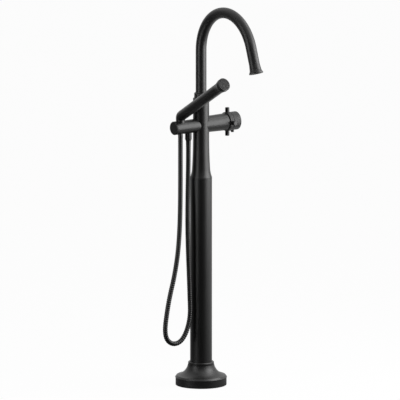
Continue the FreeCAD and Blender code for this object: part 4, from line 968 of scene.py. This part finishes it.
@dataclass
class Hose(Assembly):
    """The ribbed hose, on one smooth line between the hand shower's nut and the outlet."""

    radius: float = 6.9
    bore: float = 4.4
    cuff: float = 14.0
    ribs: int = 196
    rib: tuple[Step, ...] = (  # one rib: shares of its pitch, and depths
        (0.1, 0.9), (0.26, 0.2), (0.42, 0.0), (0.68, 0.0), (0.84, 0.2), (1.0, 0.9))
    split_height: float = 440.0
    route: tuple[Triple, ...] = (
        (-71, 0, 722), (-71, 0, 622), (-74.4, -4, 522), (-80.5, -9, 447), (-87.5, -10.5, 382),
        (-99.5, -10.5, 320), (-116, -10, 262), (-126.6, -10, 210.5), (-132.2, -10, 169.1),
        (-126, -10, 141.6), (-105.6, -10, 126.9), (-80.6, -10, 129.2), (-62.3, -10, 148.4),
        (-50, -10, 177.2), (-44.2, -10, 209.6), (-45.9, -10, 249.5), (-48.2, -10, 310),
        (-52, -10, 390), (-53, -8.5, 475), (-48.5, -4, 560), (-43.9, 0, 640), (-43.9, 0, 698))

    def line(self) -> list[Vector]:
        """The points of the smooth line through the route.

        Returns:
            The points, in metres.
        """
        curve = bpy.data.curves.new("hose_line", "CURVE")
        curve.dimensions = "3D"
        curve.resolution_u = 24
        spline = curve.splines.new("NURBS")
        spline.points.add(len(self.route) - 1)
        for point, corner in zip(spline.points, self.route):
            point.co = (*(part * MM for part in corner), 1.0)
        spline.order_u = 3
        spline.use_endpoint_u = True
        carrier = shown("hose_line", curve)
        bpy.context.view_layer.update()
        mesh = bpy.data.meshes.new_from_object(carrier)
        points = [spot.co.copy() for spot in mesh.vertices]
        bpy.data.objects.remove(carrier)
        bpy.data.curves.remove(curve)
        bpy.data.meshes.remove(mesh)
        return points

    def pitch(self, way: "Way") -> float:
        """The distance from rib to rib."""
        return (way.length - 2 * self.cuff) / self.ribs

    def tube(self, way: "Way", start: float, end: float, first: bool) -> Form:
        """A stretch of ribbed tube along the line, with the plain cuff at its outer end.

        Args:
            way: the line.
            start: where the stretch starts, in millimetres along the line.
            end: where it ends.
            first: whether it is the line's first stretch; if not, it is the last.

        Returns:
            The form.
        """
        pitch, valley = self.pitch(way), self.radius - self.rib[0][1]
        low, high = (start + self.cuff, end) if first else (start, end - self.cuff)
        count = round((high - low) / pitch)
        skin = Outline(self.bore, start).to((self.radius, start))
        if first:
            skin.to((self.radius, low))
        for foot in (low + rib * pitch for rib in range(count)):
            skin.to(*[(self.radius - depth, foot + share * pitch) for share, depth in self.rib])
        if not first:
            skin.to((self.radius, high + self.rib[0][0] * pitch))
        skin.to((valley if first else self.radius, end), (self.bore, end))
        skin.to(*[(self.bore, high - rib * pitch) for rib in range(count)])
        form = Form.turned(skin, 20)
        for spot in form.mesh.verts:
            spot.co = way.frame(spot.co.z) @ Vector((spot.co.x, spot.co.y, 0.0))
        bmesh.ops.recalc_face_normals(form.mesh, faces=form.mesh.faces)
        return form

    def build(self) -> None:
        """Makes the hose in two stretches: the hanging one on no body, the riser on the root."""
        way = Way(self.line())
        pitch = self.pitch(way)
        wanted = way.passing(self.split_height)
        split = self.cuff + round((wanted - self.cuff) / pitch) * pitch
        hanging = self.keep(self.tube(way, 0.0, split, True), "hose_hanging",
                            Skin.HOSE, "hose_black", None, ["hose"])
        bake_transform(hanging)
        riser = self.keep(self.tube(way, split, way.length, False), "hose_riser",
                          Skin.HOSE, "hose_black", Body.ROOT, ["hose"])
        for piece, start, end in ((hanging, 0.0, split), (riser, split, way.length)):
            path = [tuple(spot * MM) for spot in way.between(start, end)]
            path[0]
            (end - start) * MM


class Way:
    """A line through points, read by the distance along it, in millimetres."""

    def __init__(self, points: Sequence[Vector]) -> None:
        """Measures the line.

        Args:
            points: its points, in metres.
        """
        self.points = [point / MM for point in points]
        self.marks = [0.0]
        for here, there in zip(self.points, self.points[1:]):
            self.marks.append(self.marks[-1] + (there - here).length)
        self.length = self.marks[-1]
        self.ways = [(there - here).normalized()
                     for here, there in zip(self.points, self.points[1:])]
        self.ways.append(self.ways[-1].copy())

    def frame(self, distance: float) -> Matrix:
        """The upright frame at a distance.

        Args:
            distance: the distance from the start.

        Returns:
            A matrix that puts Z along the line.
        """
        distance = min(max(distance, 0.0), self.length)
        after = min(max(bisect.bisect_right(self.marks, distance), 1), len(self.marks) - 1)
        share = (distance - self.marks[after - 1]) / (self.marks[after] - self.marks[after - 1])
        spot = self.points[after - 1].lerp(self.points[after], share)
        before = self.ways[max(after - 2, 0)]
        ahead = self.ways[after - 1]
        beyond = self.ways[min(after, len(self.ways) - 1)]
        way = (before + ahead).lerp(ahead + beyond, share).normalized()
        across = (Vector((0, 1, 0)) - way * way.y).normalized()
        side = across.cross(way)
        return Matrix((
            (side.x, across.x, way.x, spot.x),
            (side.y, across.y, way.y, spot.y),
            (side.z, across.z, way.z, spot.z),
            (0, 0, 0, 1),
        ))

    def passing(self, height: float) -> float:
        """The distance at which the line last rises past a height."""
        return [mark for mark, point in zip(self.marks, self.points) if point.z < height][-1]

    def between(self, start: float, end: float, least: float = 0.5) -> list[Vector]:
        """The line's points between two distances, with both ends."""
        inner = [point for mark, point in zip(self.marks, self.points)
                 if start + least < mark < end - least]
        return [self.frame(start).translation, *inner, self.frame(end).translation]


@dataclass
class HoseNut(Assembly):
    """The tapered nut that joins the hose to the hand shower."""

    bore: float = 4.4
    foot: float = 722.0
    foot_radius: float = 7.4
    waist: Step = (8.7, 13.0)
    neck: Step = (8.0, 5.0)
    top: float = 757.0

    def build(self) -> None:
        """Makes the nut."""
        (waist, taper), (neck, height) = self.waist, self.neck
        seam = self.top - height
        skin = Outline(self.bore, self.foot).to(
            (self.foot_radius, self.foot), (waist, self.foot + taper), (waist, seam),
            (neck, seam), (neck, self.top), (self.bore, self.top))
        form = Form.turned(skin, 64).soften(0.3).moved(raised(-self.holder, 0, 0))
        self.black(form, "hose_nut", Body.HOSE_END)


@dataclass
class InnerParts(Assembly):
    """The frame nodes that keep their own shape and get a finish."""

    def build(self) -> None:
        """Dresses each shown node after its slot in the record."""
        slots = [entry["slot"] for entry in frame["record"]["materials"]]
        for name, node in frame["nodes"].items():
            if node.hide_render:
                continue
            worn = [holder.material.name.split(".")[0] if holder.material else ""
                    for holder in node.material_slots]
            wanted = next((slot for slot in slots if slot in worn), "matt_black")
            for holder in node.material_slots:
                holder.material = self.skins[Skin.OF_SLOT[wanted]]
            LOG.info("%s keeps its shape, in %s", name, wanted)


# --- studio ---
@dataclass
class Studio:
    """The floor, the lamps and the camera, in metres and degrees.

    A gloss finds a room that is bright behind the object and dim in front of it.
    """

    azimuth: float = -35.9
    elevation: float = 10.6
    aim: Triple = (0.0532, 0.0786, 0.5067)
    distance: float = 50.0
    lens: float = 1607.0
    floor_size: float = 40.0
    bright_side: float = 150.0  # from the camera, round to the right
    bright_rise: float = 40.0
    growth: float = 1.3  # how fast the room gets brighter towards that side
    dimmest: float = 0.02
    floor_level: float = 0.25  # the levels across the way to it
    air_level: float = 0.3
    floor_glow: float = 0.97  # the share of its own light where it is seen
    air_glow: float = 0.95
    air_light: float = 0.05  # what the air gives to all things

    def heading(self, side: float, rise: float = 0.0) -> Vector:
        """A way out from the object, in degrees to the camera's right and up."""
        turn, rise = math.radians(self.azimuth + side), math.radians(rise)
        return Vector((math.sin(turn) * math.cos(rise), -math.cos(turn) * math.cos(rise),
                       math.sin(rise)))

    def camera(self) -> None:
        """Puts the camera at the photograph's angle."""
        view = bpy.data.cameras.new("camera")
        view.lens = self.lens
        view.sensor_width = 36.0
        view.clip_end = 200.0
        holder = shown("camera", view)
        back = self.heading(0.0, self.elevation)
        holder.location = Vector(self.aim) + back * self.distance
        holder.rotation_euler = (-back).to_track_quat("-Z", "Y").to_euler()
        bpy.context.scene.camera = holder

    def floor(self) -> None:
        """Lays a pale floor that looks white and keeps a soft shadow."""
        ground = bmesh.new()
        bmesh.ops.create_grid(ground, x_segments=1, y_segments=1, size=self.floor_size)
        mesh = bpy.data.meshes.new("floor")
        ground.to_mesh(mesh)
        ground.free()
        holder = shown("floor", mesh)
        mesh.materials.append(self.white())

    @staticmethod
    def seen(shader: Shader) -> Value:
        """1 where a ray comes from the camera, a gloss or a glass, and 0 elsewhere."""
        rays = [shader.node("ShaderNodeLightPath", output=name)
                for name in ("Is Camera Ray", "Is Glossy Ray", "Is Transmission Ray")]
        return shader.math("MINIMUM", rays[0] + rays[1] + rays[2], 1.0)

    def tone(self, shader: Shader, way: Value, start: float) -> Value:
        """How white a ray finds the room: white to the camera, dimmer in front in a gloss.

        Args:
            shader: the tree that asks.
            way: the place or the direction that the ray meets.
            start: the level across the way of the bright side.

        Returns:
            A level between 0 and 1.
        """
        middle = self.heading(self.bright_side, self.bright_rise)
        ahead = shader.node("ShaderNodeVectorMath", {"operation": "DOT_PRODUCT"}, (way, middle),
                            "Value")
        level = shader.math("MAXIMUM", ahead * self.growth + start, self.dimmest)
        camera = shader.node("ShaderNodeLightPath", output="Is Camera Ray")
        return shader.math("MINIMUM", level + camera, 1.0)

    def white(self) -> bpy.types.Material:
        """The floor's skin: pale and dull, lifted to white where it is seen.

        Returns:
            The material.
        """
        shader = Shader("pale_floor")
        pale = shader.blend(shader.noise(3.0), (0.86, 0.86, 0.86), (0.9, 0.9, 0.9))
        dull = shader.node("ShaderNodeBsdfDiffuse", {}, {"Color": pale})
        place = shader.node("ShaderNodeNewGeometry", output="Position")
        tint = shader.blend(self.tone(shader, place, self.floor_level), BLACK, WHITE)
        glow = shader.node("ShaderNodeEmission", {}, {"Color": tint, "Strength": 1.0})
        share = self.seen(shader) * self.floor_glow
        both = shader.node("ShaderNodeMixShader", {}, (share, dull, glow))
        shader.node("ShaderNodeOutputMaterial", {}, {"Surface": both})
        return shader.material

    def lamp(self, name: str, side: float, height: float, size: Step, power: float,
             reach: float, look: float) -> None:
        """Hangs one soft lamp that faces the object.

        Args:
            name: the lamp's name.
            side: how far round from the camera it stands, in degrees to the right.
            height: its height in metres.
            size: its width and height in metres.
            power: its power in watts.
            reach: its distance in metres.
            look: the height in metres that it faces.
        """
        light = bpy.data.lights.new(name, "AREA")
        light.shape = "RECTANGLE"
        light.size, light.size_y = size
        light.energy = power
        holder = shown(name, light)
        holder.location = self.heading(side) * reach + Vector((0, 0, height))
        way = Vector((0, 0, look)) - holder.location
        holder.rotation_euler = way.to_track_quat("-Z", "Y").to_euler()

    def lamps(self) -> None:
        """Hangs the lamps round the object."""
        self.lamp("right_bank", 78.0, 1.0, (1.1, 1.2), power=23.0, reach=1.1, look=0.95)
        self.lamp("left_bank", -52.0, 0.9, (0.45, 1.8), power=8.5, reach=1.2, look=0.9)
        self.lamp("high_bank", 108.0, 2.0, (0.9, 0.9), power=7.0, reach=1.0, look=0.8)
        self.lamp("top_bank", 10.0, 2.8, (1.6, 1.0), power=5.0, reach=2.2, look=0.5)

    def air(self) -> None:
        """Lights the world."""
        world = bpy.data.worlds.new("studio")
        world.use_nodes = True
        shader = Shader("studio_air", world.node_tree)
        way = shader.node("ShaderNodeTexCoord", output="Generated")
        own = self.seen(shader) * self.tone(shader, way, self.air_level) * self.air_glow
        air = shader.node("ShaderNodeBackground", {},
                          {"Color": (*WHITE, 1.0), "Strength": own + self.air_light})
        shader.node("ShaderNodeOutputWorld", {}, {"Surface": air})
        bpy.context.scene.world = world

    def build(self) -> None:
        """Sets the whole studio up."""
        self.camera()
        self.floor()
        self.lamps()
        self.air()
        bpy.context.scene.view_settings.view_transform = "Standard"


def main() -> None:
    """Builds the sub-assemblies in order."""
    logging.basicConfig(level=logging.INFO, format="%(name)s: %(message)s")
    studio = Studio()
    studio.build()
    skins = Skin()
    for kind in (Hose, FloorStand, UpperBody, Arms, FlowHandle, TemperatureKnob, Spout,
                 HandShower, HoseNut, InnerParts):
        kind(skins).build()
        LOG.info("%s is built", kind.__name__)


if __name__ == "__main__":
    main()
